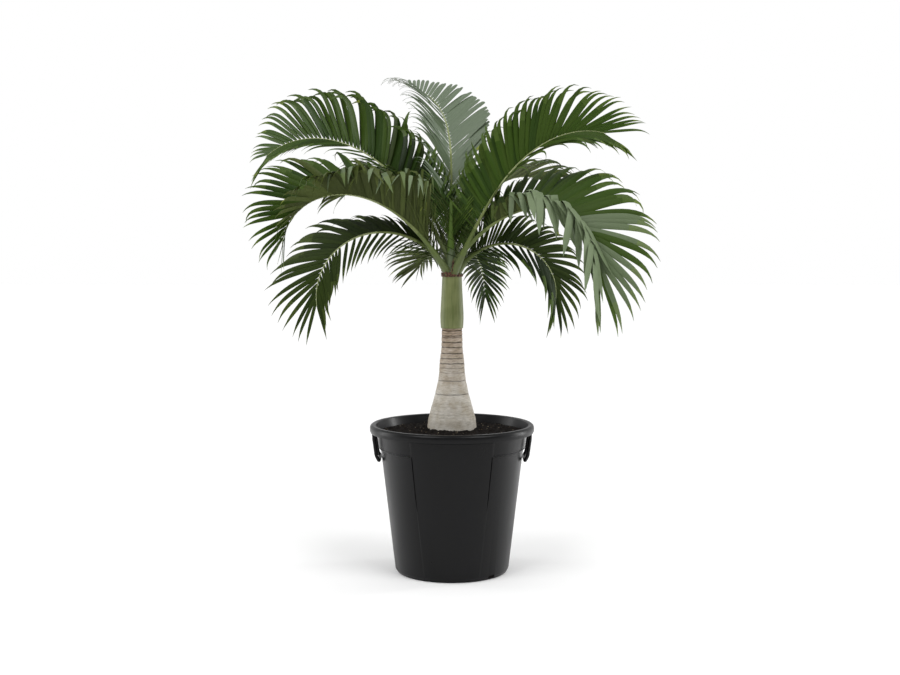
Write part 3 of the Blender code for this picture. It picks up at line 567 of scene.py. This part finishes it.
def tub_cutters():
    """The drain slots through the foot, and the V grooves inside the panel's edges that run out half way down."""
    bm = bmesh.new()
    length, depth, height = DRAIN_SLOT
    for angle in DRAIN_SLOTS_AT:
        middle = Matrix.Translation((BODY_FOOT_RADIUS - 0.006, 0, DRAIN_SLOT_HEIGHT))
        place = Matrix.Rotation(math.radians(angle), 4, "Z") @ middle
        bmesh.ops.create_cube(bm, size=1, matrix=place @ Matrix.Diagonal((depth, length, height, 1)))
    for side in (-1, 1):
        ends = []
        for height, depth in ((GROOVE_LOW, 0.0001), (GROOVE_TOP, GROOVE_DEPTH)):
            radius = float(np.interp(height, (BODY_FOOT, BODY_TOP), (BODY_FOOT_RADIUS, BODY_TOP_RADIUS))) + PANEL_PROUD
            wide = GROOVE_HALF_WIDTH * (GROOVE_DEPTH + 0.008) / GROOVE_DEPTH * (1 if depth > 0.001 else 0.4)
            corners = ((radius - depth, 0), (radius + 0.008, -wide), (radius + 0.008, wide))
            rim = [bm.verts.new((out, across, height)) for out, across in corners]
            inside = math.degrees(GROOVE_HALF_WIDTH / radius)
            turn = Matrix.Rotation(math.radians(-90 + side * (panel_edge(height) - inside)), 3, "Z")
            bmesh.ops.rotate(bm, verts=rim, matrix=turn)
            bmesh.ops.contextual_create(bm, geom=rim)
            ends.append(rim)
        edges = [edge for edge in bm.edges if all(any(vertex in rim for rim in ends) for vertex in edge.verts)]
        bmesh.ops.bridge_loops(bm, edges=edges)
    bmesh.ops.recalc_face_normals(bm, faces=bm.faces)
    return bm


def cut(piece, bm):
    """Takes a bmesh's closed shapes out of a piece."""
    mesh = bpy.data.meshes.new("cutters")
    bm.to_mesh(mesh)
    bm.free()
    cutter = bpy.data.objects.new("cutters", mesh)
    bpy.context.scene.collection.objects.link(cutter)
    boolean = piece.modifiers.new("cut", "BOOLEAN")
    boolean.operation = "DIFFERENCE"
    boolean.solver = "EXACT"
    boolean.object = cutter
    depsgraph = bpy.context.evaluated_depsgraph_get()
    whole = piece.data
    piece.data = bpy.data.meshes.new_from_object(piece.evaluated_get(depsgraph))
    piece.modifiers.clear()
    bpy.data.meshes.remove(whole)
    bpy.data.objects.remove(cutter)


def build_tub(plastic):
    outside = [
        (0, 0),
        (FOOT_RADIUS, 0),
        (0.168, 0.002),
        (BODY_FOOT_RADIUS - 0.001, 0.010),
        (BODY_FOOT_RADIUS, BODY_FOOT),
        (BODY_TOP_RADIUS, BODY_TOP),
        (0.2216, BAND_FOOT - 0.0002),
        (0.2219 + BAND_LIP, BAND_FOOT + 0.0006),
        (0.2221 + BAND_LIP, BAND_FOOT + 0.0026),
        (0.2222, BAND_FOOT + 0.0042),
        (0.2264, 0.419),
        (BAND_RADIUS, RIM_UNDERSIDE),
        (0.2400, RIM_UNDERSIDE),
        (0.2470, 0.4265),
        (RIM_RADIUS, 0.432),
        (RIM_RADIUS, 0.443),
        (0.2475, 0.4478),
        (0.2430, RIM_TOP),
        (0.2360, RIM_TOP),
        (0.2320, 0.4485),
    ]
    inside = [*inner_wall(), (0.2310, 0.4440)]
    floor = [(0, TUB_WALL), (BODY_FOOT_RADIUS - 0.012, TUB_WALL)]
    bm = turned([*outside, *reversed(inside), *reversed(floor)], TUB_SIDES)
    shell = piece_of("tub_shell", bm, plastic, "pot", smooth=35)
    loop = [
        (BODY_FOOT_RADIUS + PANEL_PROUD, BODY_FOOT + 0.0005),
        (BAND_RADIUS - 0.0005 + PANEL_PROUD, 0.4225),
        (BAND_RADIUS - 0.002, 0.4225),
        (0.2205, 0.382),
        (BODY_TOP_RADIUS - 0.0015, BODY_TOP - 0.0035),
        (BODY_FOOT_RADIUS - 0.0015, BODY_FOOT + 0.0005),
    ]
    bm = bmesh.new()
    bm.faces.new([bm.verts.new((radius, 0, height)) for radius, height in loop])
    turn = Matrix.Rotation(math.radians(-90 - PANEL_HALF_ANGLE), 3, "Z")
    bmesh.ops.rotate(bm, verts=bm.verts, matrix=turn)
    section = bm.verts[:] + bm.edges[:] + bm.faces[:]
    bmesh.ops.spin(bm, geom=section, axis=(0, 0, 1), angle=math.radians(2 * PANEL_HALF_ANGLE), steps=30)
    bmesh.ops.remove_doubles(bm, verts=bm.verts, dist=1e-6)
    for vertex in bm.verts:
        share = panel_edge(vertex.co.z) / PANEL_HALF_ANGLE
        away = (math.atan2(vertex.co.y, vertex.co.x) + math.pi / 2) * (share - 1)
        vertex.co.rotate(Matrix.Rotation(away, 3, "Z"))
    bmesh.ops.recalc_face_normals(bm, faces=bm.faces)
    ends = [edge for edge in bm.edges if edge.is_manifold and edge.calc_face_angle() > 1.2]
    upright = [edge for edge in ends if abs(edge.verts[0].co.z - edge.verts[1].co.z) > 0.02]
    outer = [edge for edge in upright if edge.verts[0].co.xy.length > BODY_FOOT_RADIUS + 0.001]
    bmesh.ops.bevel(bm, geom=outer, offset=0.0009, offset_type="OFFSET", affect="EDGES", segments=2, profile=0.5,
                    material=-1)
    panel = piece_of("tub_front_panel", bm, plastic, smooth=35)
    for piece in (shell, panel):
        cut(piece, tub_cutters())


def soil_height(radius):
    """The soil's level at a distance from the tub's middle, before its clods."""
    return float(np.interp(radius, *zip(*SOIL_LEVELS)))


def build_soil(soil, grit):
    """The soil fills the tub: clods and crumbs raised by noise, with pale grit and bark strewn over it."""
    radii = np.linspace(0, SOIL_LEVELS[-1][0], SOIL_RINGS)
    top = [(radius, soil_height(radius)) for radius in radii]
    wall = [(0, TUB_WALL + CLEAR), (BODY_FOOT_RADIUS - TUB_WALL - 3 * CLEAR, TUB_WALL + CLEAR)]
    wall += [(BODY_FOOT_RADIUS - TUB_WALL - CLEAR, BODY_FOOT), (BODY_TOP_RADIUS - TUB_WALL - CLEAR, BODY_TOP - TUB_WALL)]
    bm = turned([*wall, *reversed(top)], SOIL_SIDES)
    for vertex in bm.verts:
        x, y, z = vertex.co
        if z > BODY_TOP:
            calm = max(0.25, min(1, (SOIL_LEVELS[-1][0] - math.hypot(x, y)) / 0.012))
            clod = noise.fractal(vertex.co / CLOD_SIZE, 0.8, 2.1, 4)
            crumb = noise.fractal(vertex.co / CRUMB_SIZE, 0.6, 2.0, 3)
            vertex.co.z += calm * (CLOD_HEIGHT * clod + CRUMB_HEIGHT * abs(crumb))
    piece = piece_of("soil_bed", bm, soil, "soil", smooth=180)
    chance = random.Random(5)
    bm = bmesh.new()
    for i in range(GRIT_COUNT):
        radius = math.sqrt(chance.uniform(0.085**2, 0.215**2))
        turn = chance.uniform(0, math.tau)
        size = chance.uniform(*GRIT_SIZE) / 2
        flat = chance.uniform(0.5, 0.9)
        place = Matrix.Translation((radius * math.cos(turn), radius * math.sin(turn), soil_height(radius) + CRUMB_HEIGHT))
        spun = Matrix.Rotation(chance.uniform(0, math.tau), 4, "Z") @ Matrix.Rotation(chance.uniform(-0.5, 0.5), 4, "X")
        shape = Matrix.Diagonal((size * chance.uniform(1, 1.5), size, size * flat, 1))
        bmesh.ops.create_icosphere(bm, subdivisions=1, radius=1, matrix=place @ spun @ shape)
    piece = piece_of("soil_grit", bm, grit, smooth=60)


def scar_shade(point):
    """How far a point of the trunk lies in a leaf scar, 0 to 1: the scars wander and fade round the trunk."""
    around = Vector((2 * math.cos(math.atan2(point.y, point.x)), 2 * math.sin(math.atan2(point.y, point.x)), 0))
    shade = 0
    for height, strength in SCARS:
        swing = 1.3 * MM * noise.noise(around + Vector((0, 0, 40 * height)))
        fade = strength * (1 + 0.5 * noise.noise(2 * around + Vector((0, 0, 90 * height))))
        shade = max(shade, fade * math.exp(-(((point.z - height - swing) / SCAR_WIDTH) ** 2)))
    return min(1, shade)


def build_trunk(bark):
    """The trunk with its leaf scars cut in as shallow grooves, slightly uneven all round."""
    heights = np.linspace(TRUNK_FOOT - 0.004, TRUNK_TOP, TRUNK_RINGS)
    taper_heights, taper_radii = zip(*TRUNK_TAPER)
    radii = np.interp(heights, taper_heights, taper_radii)
    radii = np.convolve(np.pad(radii, 6, "edge"), np.ones(13) / 13, "valid")
    bm = turned([(0, heights[0]), *zip(radii, heights), (0, heights[-1])], 120)
    layer = bm.verts.layers.float_color.new("scar")
    for vertex in bm.verts:
        shade = scar_shade(vertex.co)
        lumps = noise.fractal(vertex.co / (22 * MM), 0.8, 2.0, 4)
        scale = 1 + (0.35 * MM * lumps - SCAR_DEPTH * shade) / max(0.02, vertex.co.xy.length)
        vertex.co.x *= scale
        vertex.co.y *= scale
        vertex[layer] = (shade, shade, shade, 1)
    piece = piece_of("trunk_bark", bm, bark, "trunk", smooth=180)


def build_shaft(green, heart_green):
    heights, radii = zip(*SHAFT_TAPER)
    fine = np.linspace(heights[0], heights[-1], 60)
    smooth = np.convolve(np.pad(np.interp(fine, heights, radii), 4, "edge"), np.ones(9) / 9, "valid")
    bm = turned([(0, fine[0]), *zip(smooth, fine), (0, fine[-1])], 72)
    piece = piece_of("crownshaft_sheath", bm, green, "crownshaft", smooth=60)
    heights, radii = zip(*HEART_TAPER)
    fine = np.linspace(heights[0], heights[-1], 40)
    bm = turned([(0, fine[0]), *zip(np.interp(fine, heights, radii), fine), (0, fine[-1])], 48)
    for vertex in bm.verts:
        vertex.co.x += HEART_SHIFT * min(1, (vertex.co.z - COLLAR_TOP) / 0.015)
    piece = piece_of("crown_heart_leaf", bm, heart_green, "crown_heart", smooth=60)


def strand(path, away, width):
    """Points, faces and texture places of one flat dry strand along a path, lying against what is behind it."""
    along = unit(np.gradient(path, axis=0))
    across = unit(np.cross(along, away))
    full = np.linspace(0, math.pi, len(path))
    half = width / 2 * np.sqrt(np.maximum(0.05, np.sin(full)))[:, None]
    lift = unit(away) * half * STRAND_ROUNDNESS
    rows = np.stack([path + across * half, path + lift, path - across * half, path - lift], axis=1)
    count = len(path)
    faces = [(3, 2, 1, 0), tuple(4 * (count - 1) + i for i in range(4))]
    for ring in range(0, 4 * (count - 1), 4):
        faces += [(ring + i, ring + (i + 1) % 4, ring + 4 + (i + 1) % 4, ring + 4 + i) for i in range(4)]
    places = np.stack([np.tile([0.0, 0.33, 0.67, 1.0], count), np.repeat(np.linspace(0, 1, count), 4)], axis=1)
    return rows.reshape(-1, 3), np.array(faces), places


def build_collar(fibre):
    """The collar of torn sheath fibre: a rough ring, strands wound round it, and strands left along the stalks."""
    foot = SHAFT_TOP
    side = [(COLLAR_RADIUS - 0.0025, foot), (COLLAR_RADIUS - 0.0015, foot + 0.002), (COLLAR_RADIUS - 0.004, foot + 0.006)]
    bm = turned([(0, foot), *side, (0.020, COLLAR_TOP + 0.003), (0, COLLAR_TOP + 0.003)], 72)
    bmesh.ops.subdivide_edges(bm, edges=bm.edges[:], cuts=2, use_grid_fill=True)
    for vertex in bm.verts:
        vertex.co += vertex.co.normalized() * 0.8 * MM * noise.noise(vertex.co / (3 * MM))
    piece = piece_of("collar_ring", bm, fibre, "collar", smooth=180)
    chance = random.Random(3)
    strands = Joined()
    steps = np.linspace(0, 1, 12)
    for i in range(WOUND_STRANDS):
        start, run = chance.uniform(0, math.tau), chance.uniform(0.5, 1.9) * chance.choice((-1, 1))
        turn = start + run * steps
        tall = blend(0.003, 0.027, (1 - np.cos(turn - FIBRE_LOW_SIDE)) / 2)
        height = foot - 0.001 + tall * (chance.random() + chance.uniform(-0.4, 0.4) * steps)
        radius = COLLAR_RADIUS + chance.uniform(-0.0015, 0.0012) + 0.001 * np.sin(9 * steps + start)
        away = np.stack([np.cos(turn), np.sin(turn), 0 * turn], axis=1)
        path = away * radius[:, None] + np.stack([0 * turn, 0 * turn, height], axis=1)
        points, faces, places = strand(path, away, chance.uniform(0.0010, 0.0026))
        strands.add(points, faces, places, np.zeros(len(faces)))
    for i in range(TORN_STRANDS):
        turn = TORN_SIDE + chance.uniform(-0.35, 0.25) + chance.uniform(-0.3, 0.5) * steps
        height = foot + chance.uniform(0.008, 0.020) + chance.uniform(0.010, 0.034) * steps
        radius = np.interp(height, TORN_HEIGHTS, TORN_RADII) + chance.uniform(-0.001, 0.002)
        away = np.stack([np.cos(turn), np.sin(turn), 0 * turn], axis=1)
        path = away * radius[:, None] + np.stack([0 * turn, 0 * turn, height], axis=1)
        points, faces, places = strand(path, away, chance.uniform(0.0012, 0.0030))
        strands.add(points, faces, places, np.zeros(len(faces)))
    piece = strands.piece("collar_strands", [fibre])


def rib_of(frond):
    """Points, directions and left-hand directions along a frond's rib, from its seat to its tip."""
    share = np.linspace(0, 1, RIB_STEPS + 1)
    slope = np.radians(blend(frond["rise"], frond["fall"], share ** frond["bend"]))
    heading = np.radians(frond["heading"] + frond["sweep"] * share**2)
    ahead = np.stack([np.cos(slope) * np.cos(heading), np.cos(slope) * np.sin(heading), np.sin(slope)], axis=1)
    left = np.stack([-np.sin(heading), np.cos(heading), 0 * heading], axis=1)
    steps = (ahead[1:] + ahead[:-1]) / 2 * frond["length"] / RIB_STEPS
    points = np.array(frond["seat"]) + np.vstack([np.zeros(3), np.cumsum(steps, axis=0)])
    return points, ahead, left


def along_rib(rib, share):
    """The rib's point, direction and left-hand direction at a share of its length."""
    at = np.arange(RIB_STEPS + 1) / RIB_STEPS
    return [np.array([np.interp(share, at, line[:, axis]) for axis in range(3)]) for line in rib]


def between(values, place):
    """A row's value at a place along the leafy part of the rib, where several are given evenly from end to end."""
    values = np.atleast_1d(values)
    return float(np.interp(place, np.linspace(0, 1, len(values)), values))


class Joined:
    """Points, faces, texture places and material numbers of many small shapes that make one mesh."""

    def __init__(self):
        self.points, self.faces, self.places, self.slots, self.count = [], [], [], [], 0

    def add(self, points, faces, places, slots):
        self.points.append(points)
        self.faces.append(faces + self.count)
        self.places.append(places)
        self.slots.append(slots)
        self.count += len(points)

    def piece(self, name, materials):
        mesh = bpy.data.meshes.new(name)
        faces = np.vstack(self.faces)
        mesh.from_pydata(np.vstack(self.points).tolist(), [], faces.tolist())
        mesh.polygons.foreach_set("material_index", np.concatenate(self.slots).astype(np.int32))
        layer = mesh.uv_layers.new(name="blade")
        layer.data.foreach_set("uv", np.vstack(self.places)[faces.reshape(-1)].reshape(-1).astype(np.float32))
        for material in materials:
            mesh.materials.append(material)
        mesh.shade_smooth()
        mesh.set_sharp_from_angle(angle=math.radians(60))
        piece = bpy.data.objects.new(name, mesh)
        bpy.context.scene.collection.objects.link(piece)
        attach(piece, "root")
        return piece


def leaflet(frond, rib, side, place, chance, strand=None):
    """Points, faces, texture places and upper-side flags of one leaflet: a thin folded blade."""
    row = {**PLAIN_ROW, **frond["left" if side > 0 else "right"]}
    share = blend(frond["bare"], LEAFLET_LAST, place) if strand is None else strand
    root, ahead, left = along_rib(rib, share + ROW_STAGGER * side)
    ahead, left = unit(ahead), unit(left)
    above = np.cross(ahead, left)
    spread = math.radians(between(row["spread"], place) + chance.gauss(0, 1.6 if strand is None else 12))
    stand = math.radians(between(row["stand"], place) + chance.gauss(0, 3.0 if strand is None else 20))
    outwards = side * math.cos(stand) * left + math.sin(stand) * above
    aim = math.cos(spread) * ahead + math.sin(spread) * outwards
    length = between(row["reach"], place) * chance.uniform(0.95, 1.02)
    if strand is not None:
        length *= chance.uniform(0.6, 1.0)
    crease = between(row["crease"], place) * chance.uniform(0.93, 1.07)
    middles = (np.arange(LEAFLET_STEPS)[:, None] + 0.5) / LEAFLET_STEPS
    fall = np.array([chance.gauss(0, 0.25), chance.gauss(0, 0.25), -1.0]) + row["sway"] * ahead
    nod = NOD * row["nod"] * chance.uniform(0.3, 1.7) * middles**NOD_FROM
    aims = unit(aim + ((middles / crease) ** row["sag"] * length / FULL_LEAFLET + nod) * fall)
    route = root + np.vstack([np.zeros(3), np.cumsum(aims * length / LEAFLET_STEPS, axis=0)])
    tilt = math.radians(row["louver"] + chance.gauss(0, 3))
    edge = unit(ahead - (ahead @ aims[0]) * aims[0])
    edge = math.cos(tilt) * edge - math.sin(tilt) * side * np.cross(edge, aims[0])
    full = LEAFLET_WIDTH / 2 * (0.55 + 0.45 * length / 0.225) * (1 - 0.3 * place**3) * between(row["wide"], place)
    full *= (1 - row["slim"] * max(0, 1 - place / SLIM_UNTIL)) if strand is None else STRAND_WIDTH
    outline = OUTLINE_WIDTH[row["outline"] if strand is None else "pointed"]
    fold = math.radians(FOLD)
    rows = []
    for station in range(LEAFLET_STEPS + 1):
        here = aims[min(station, LEAFLET_STEPS - 1)]
        edge = unit(edge - (edge @ here) * here)
        keel = unit(np.cross(edge, here)) * side
        half = full * np.interp(station / LEAFLET_STEPS, OUTLINE_AT, outline)
        drop = keel * half * math.sin(fold)
        centre = route[station]
        rows.append([centre + edge * half * math.cos(fold) - drop, centre + keel * 0.0003,
                     centre - edge * half * math.cos(fold) - drop, centre - keel * 0.0005])
    points = np.array(rows).reshape(-1, 3)
    along = np.repeat(np.arange(LEAFLET_STEPS + 1) / LEAFLET_STEPS, 4)
    across = np.tile([0.0, 0.5, 1.0, 0.5], LEAFLET_STEPS + 1)
    faces = []
    for ring in range(0, 4 * LEAFLET_STEPS, 4):
        for i in range(4):
            j = (i + 1) % 4
            faces.append((ring + i, ring + j, ring + 4 + j, ring + 4 + i))
    last = 4 * LEAFLET_STEPS
    faces += [(3, 2, 1, 0), (last, last + 1, last + 2, last + 3)]
    faces = np.array(faces if side > 0 else [face[::-1] for face in faces])
    upper = np.tile([True, True, False, False], LEAFLET_STEPS)
    upper = np.concatenate([upper, [False, False]])
    return points, faces, np.stack([across, along], axis=1), upper


def rib_tube(frond, rib):
    """Points, faces and texture places of a frond's rib, from its heel in the collar to its tip."""
    shares = np.linspace(0, 1, RIB_RINGS + 1)
    places = [along_rib(rib, share) for share in shares]
    radii = np.interp(shares, RIB_STATIONS, RIB_RADII) * frond.get("stout", 1)
    turns = np.arange(RIB_SIDES) * math.tau / RIB_SIDES
    seat, ahead, left = places[0]
    if seat[2] < HEEL_BELOW:
        drop = HEEL_OUT * unit(seat * (1, 1, 0)) - np.array([0, 0, HEEL_DROP])
    else:
        drop = -HEEL_DROP * ahead
    places.insert(0, (seat + drop, ahead, left))
    radii = np.concatenate([radii[:1], radii])
    shares = np.concatenate([[0], shares])
    rows = []
    for (centre, ahead, left), radius in zip(places, radii):
        ahead, left = unit(ahead), unit(left)
        above = np.cross(ahead, left)
        rows += [centre + radius * (math.cos(turn) * left + math.sin(turn) * above * 0.85) for turn in turns]
    faces = []
    for ring in range(0, (len(shares) - 1) * RIB_SIDES, RIB_SIDES):
        for i in range(RIB_SIDES):
            j = (i + 1) % RIB_SIDES
            faces.append((ring + i, ring + j, ring + RIB_SIDES + j, ring + RIB_SIDES + i))
    around = np.tile(np.arange(RIB_SIDES) / RIB_SIDES, len(shares))
    return np.array(rows), np.array(faces), np.stack([around, np.repeat(shares, RIB_SIDES)], axis=1)


def build_fronds():
    """All twelve fronds: their leaflets as one mesh in the greens of the living leaves, some with painted shade,
    sunlight and sheen in them, and their ribs.
    """
    chance = random.Random(11)
    materials = [leaf_blade("leaflet_" + shade[0], *shade[1:]) for shade in LEAF_SHADES]
    names = [shade[0] for shade in LEAF_SHADES]
    blades, ribs = Joined(), Joined()
    for frond in FRONDS.values():
        rib = rib_of(frond)
        count = round(frond["length"] * (LEAFLET_LAST - frond["bare"]) / frond.get("spacing", LEAFLET_SPACING))
        strands_end = frond["bare"] + STRAND_PAST_BARE
        strands = round(frond["length"] * (strands_end - STRAND_FROM) / STRAND_SPACING)
        grown = [(((i + 0.5) / count) ** PLACE_POWER, None) for i in range(count)]
        grown += [(0.0, blend(STRAND_FROM, strands_end, (i + 0.5) / strands)) for i in range(strands)]
        for number, (place, strand) in enumerate(grown):
            for side in (1, -1):
                row = {**PLAIN_ROW, **frond["left" if side > 0 else "right"]}
                if place < row["first"] or strand is None and place < row["sparse_until"] and number % row["every"]:
                    continue
                points, faces, places, upper = leaflet(frond, rib, side, place, chance, strand)
                tones = row["tone"]
                if not isinstance(tones, str):
                    tones = tones[round(place * (len(tones) - 1))]
                if strand is not None:
                    tones = "dark"
                top = chance.choice(TONES[tones])
                under = chance.choice(TONES[row["under"]])
                slots = np.where(upper, names.index(top), names.index(under))
                if chance.random() < YELLOW_TIPS:
                    slots[-2 - 4 * chance.choice((1, 1, 2)) :] = names.index("yellow_green")
                elif top in TIP_SHADES:
                    slots[-2 - 4 * chance.choice((3, 4, 5, 6)) :] = names.index(TIP_SHADES[top])
                    if "sunlit" in tones and chance.random() < SUNLIT_TIPS:
                        slots[-2 - 4 * chance.choice((2, 3)) :] = names.index("tip_sunlit")
                blades.add(points, faces, places, slots)
        points, faces, places = rib_tube(frond, rib)
        share = np.repeat(np.linspace(0, 1, RIB_RINGS + 1), RIB_SIDES)
        slots = np.digitize(share, RIB_SHADES_FROM)
        slots[share < frond.get("young_stalk", -1)] = len(RIB_SHADES_FROM) + 1
        ribs.add(points, faces, places, slots)
    nodes = [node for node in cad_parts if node.startswith("frond_")]
    piece = blades.piece("frond_leaflets", materials)
    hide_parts(*nodes)
    piece = ribs.piece("frond_ribs", [leaf_blade(*shade, 0.45, 0.3) for shade in RIB_SHADES])


def build_room():
    """A pale floor, soft light from all round and from above, a strip at each side, and the camera."""
    bm = bmesh.new()
    bmesh.ops.create_grid(bm, x_segments=1, y_segments=1, size=FLOOR_SIZE / 2)
    mesh = bpy.data.meshes.new("floor")
    bm.to_mesh(mesh)
    bm.free()
    floor = bpy.data.objects.new("floor", mesh)
    bpy.context.scene.collection.objects.link(floor)
    material, shader, tree = finish("pale_floor", "fafafa", 0.9)
    mesh.materials.append(material)
    scene = bpy.context.scene
    world = bpy.data.worlds.new("soft_studio")
    scene.world = world
    world.use_nodes = True
    tree = world.node_tree
    direction = add(tree, "TexCoord").outputs["Generated"]
    ahead = add(tree, "SeparateXYZ", Vector=direction).outputs["Y"]
    room = add(tree, "MapRange", Value=ahead, From_Min=-0.9, From_Max=0.1, To_Min=ROOM_DARK_SIDE, To_Max=ROOM_LIGHT)
    seen = add(tree, "LightPath").outputs["Is Camera Ray"]
    strength = add(tree, "MapRange", Value=seen, To_Min=room.outputs["Result"], To_Max=1.0)
    tree.nodes["Background"].inputs["Color"].default_value = (1, 1, 1, 1)
    tree.links.new(strength.outputs["Result"], tree.nodes["Background"].inputs["Strength"])
    scene.view_settings.view_transform = "Standard"
    for name, source, energy in SOFT_LIGHTS:
        sun = bpy.data.lights.new(name, "SUN")
        sun.energy = energy
        sun.angle = math.radians(SOFT_LIGHT_SPREAD)
        lamp = bpy.data.objects.new(name, sun)
        lamp.rotation_euler = Vector(source).to_track_quat("Z", "Y").to_euler()
        scene.collection.objects.link(lamp)
    for name, place, width, power in STRIPS:
        strip = bpy.data.lights.new(name, "AREA")
        strip.shape = "RECTANGLE"
        strip.size, strip.size_y = width, STRIP_HEIGHT
        strip.energy = power
        lamp = bpy.data.objects.new(name, strip)
        lamp.location = place
        lamp.rotation_euler = (Vector(place) - Vector((0, 0, 0.5))).to_track_quat("Z", "Y").to_euler()
        scene.collection.objects.link(lamp)
    lens = bpy.data.cameras.new("camera")
    lens.sensor_width = SENSOR_WIDTH
    lens.lens = FOCAL_PIXELS / IMAGE_WIDTH * SENSOR_WIDTH
    camera = bpy.data.objects.new("camera", lens)
    camera.location = (0, -CAMERA_DISTANCE, CAMERA_HEIGHT)
    yaw = math.atan(AXIS_RIGHT_OF_MIDDLE / FOCAL_PIXELS)
    camera.rotation_euler = (math.radians(90 - CAMERA_DIP), 0, yaw)
    scene.collection.objects.link(camera)
    scene.camera = camera


def main():
    plastic = moulded_plastic()
    build_tub(plastic)
    for side in ("left", "right"):
        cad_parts["handle_" + side].data.materials.clear()
        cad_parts["handle_" + side].data.materials.append(plastic)
    build_soil(potting_soil(), pale_grit())
    build_trunk(ringed_bark())
    green = waxy_sheath("waxy_green_sheath", "565f30", "73794a", 0.5)
    heart_green = waxy_sheath("waxy_heart_leaf", "46533a", "5a6647", 0.5)
    build_shaft(green, heart_green)
    build_collar(sheath_fibre())
    build_fronds()
    build_room()


main()
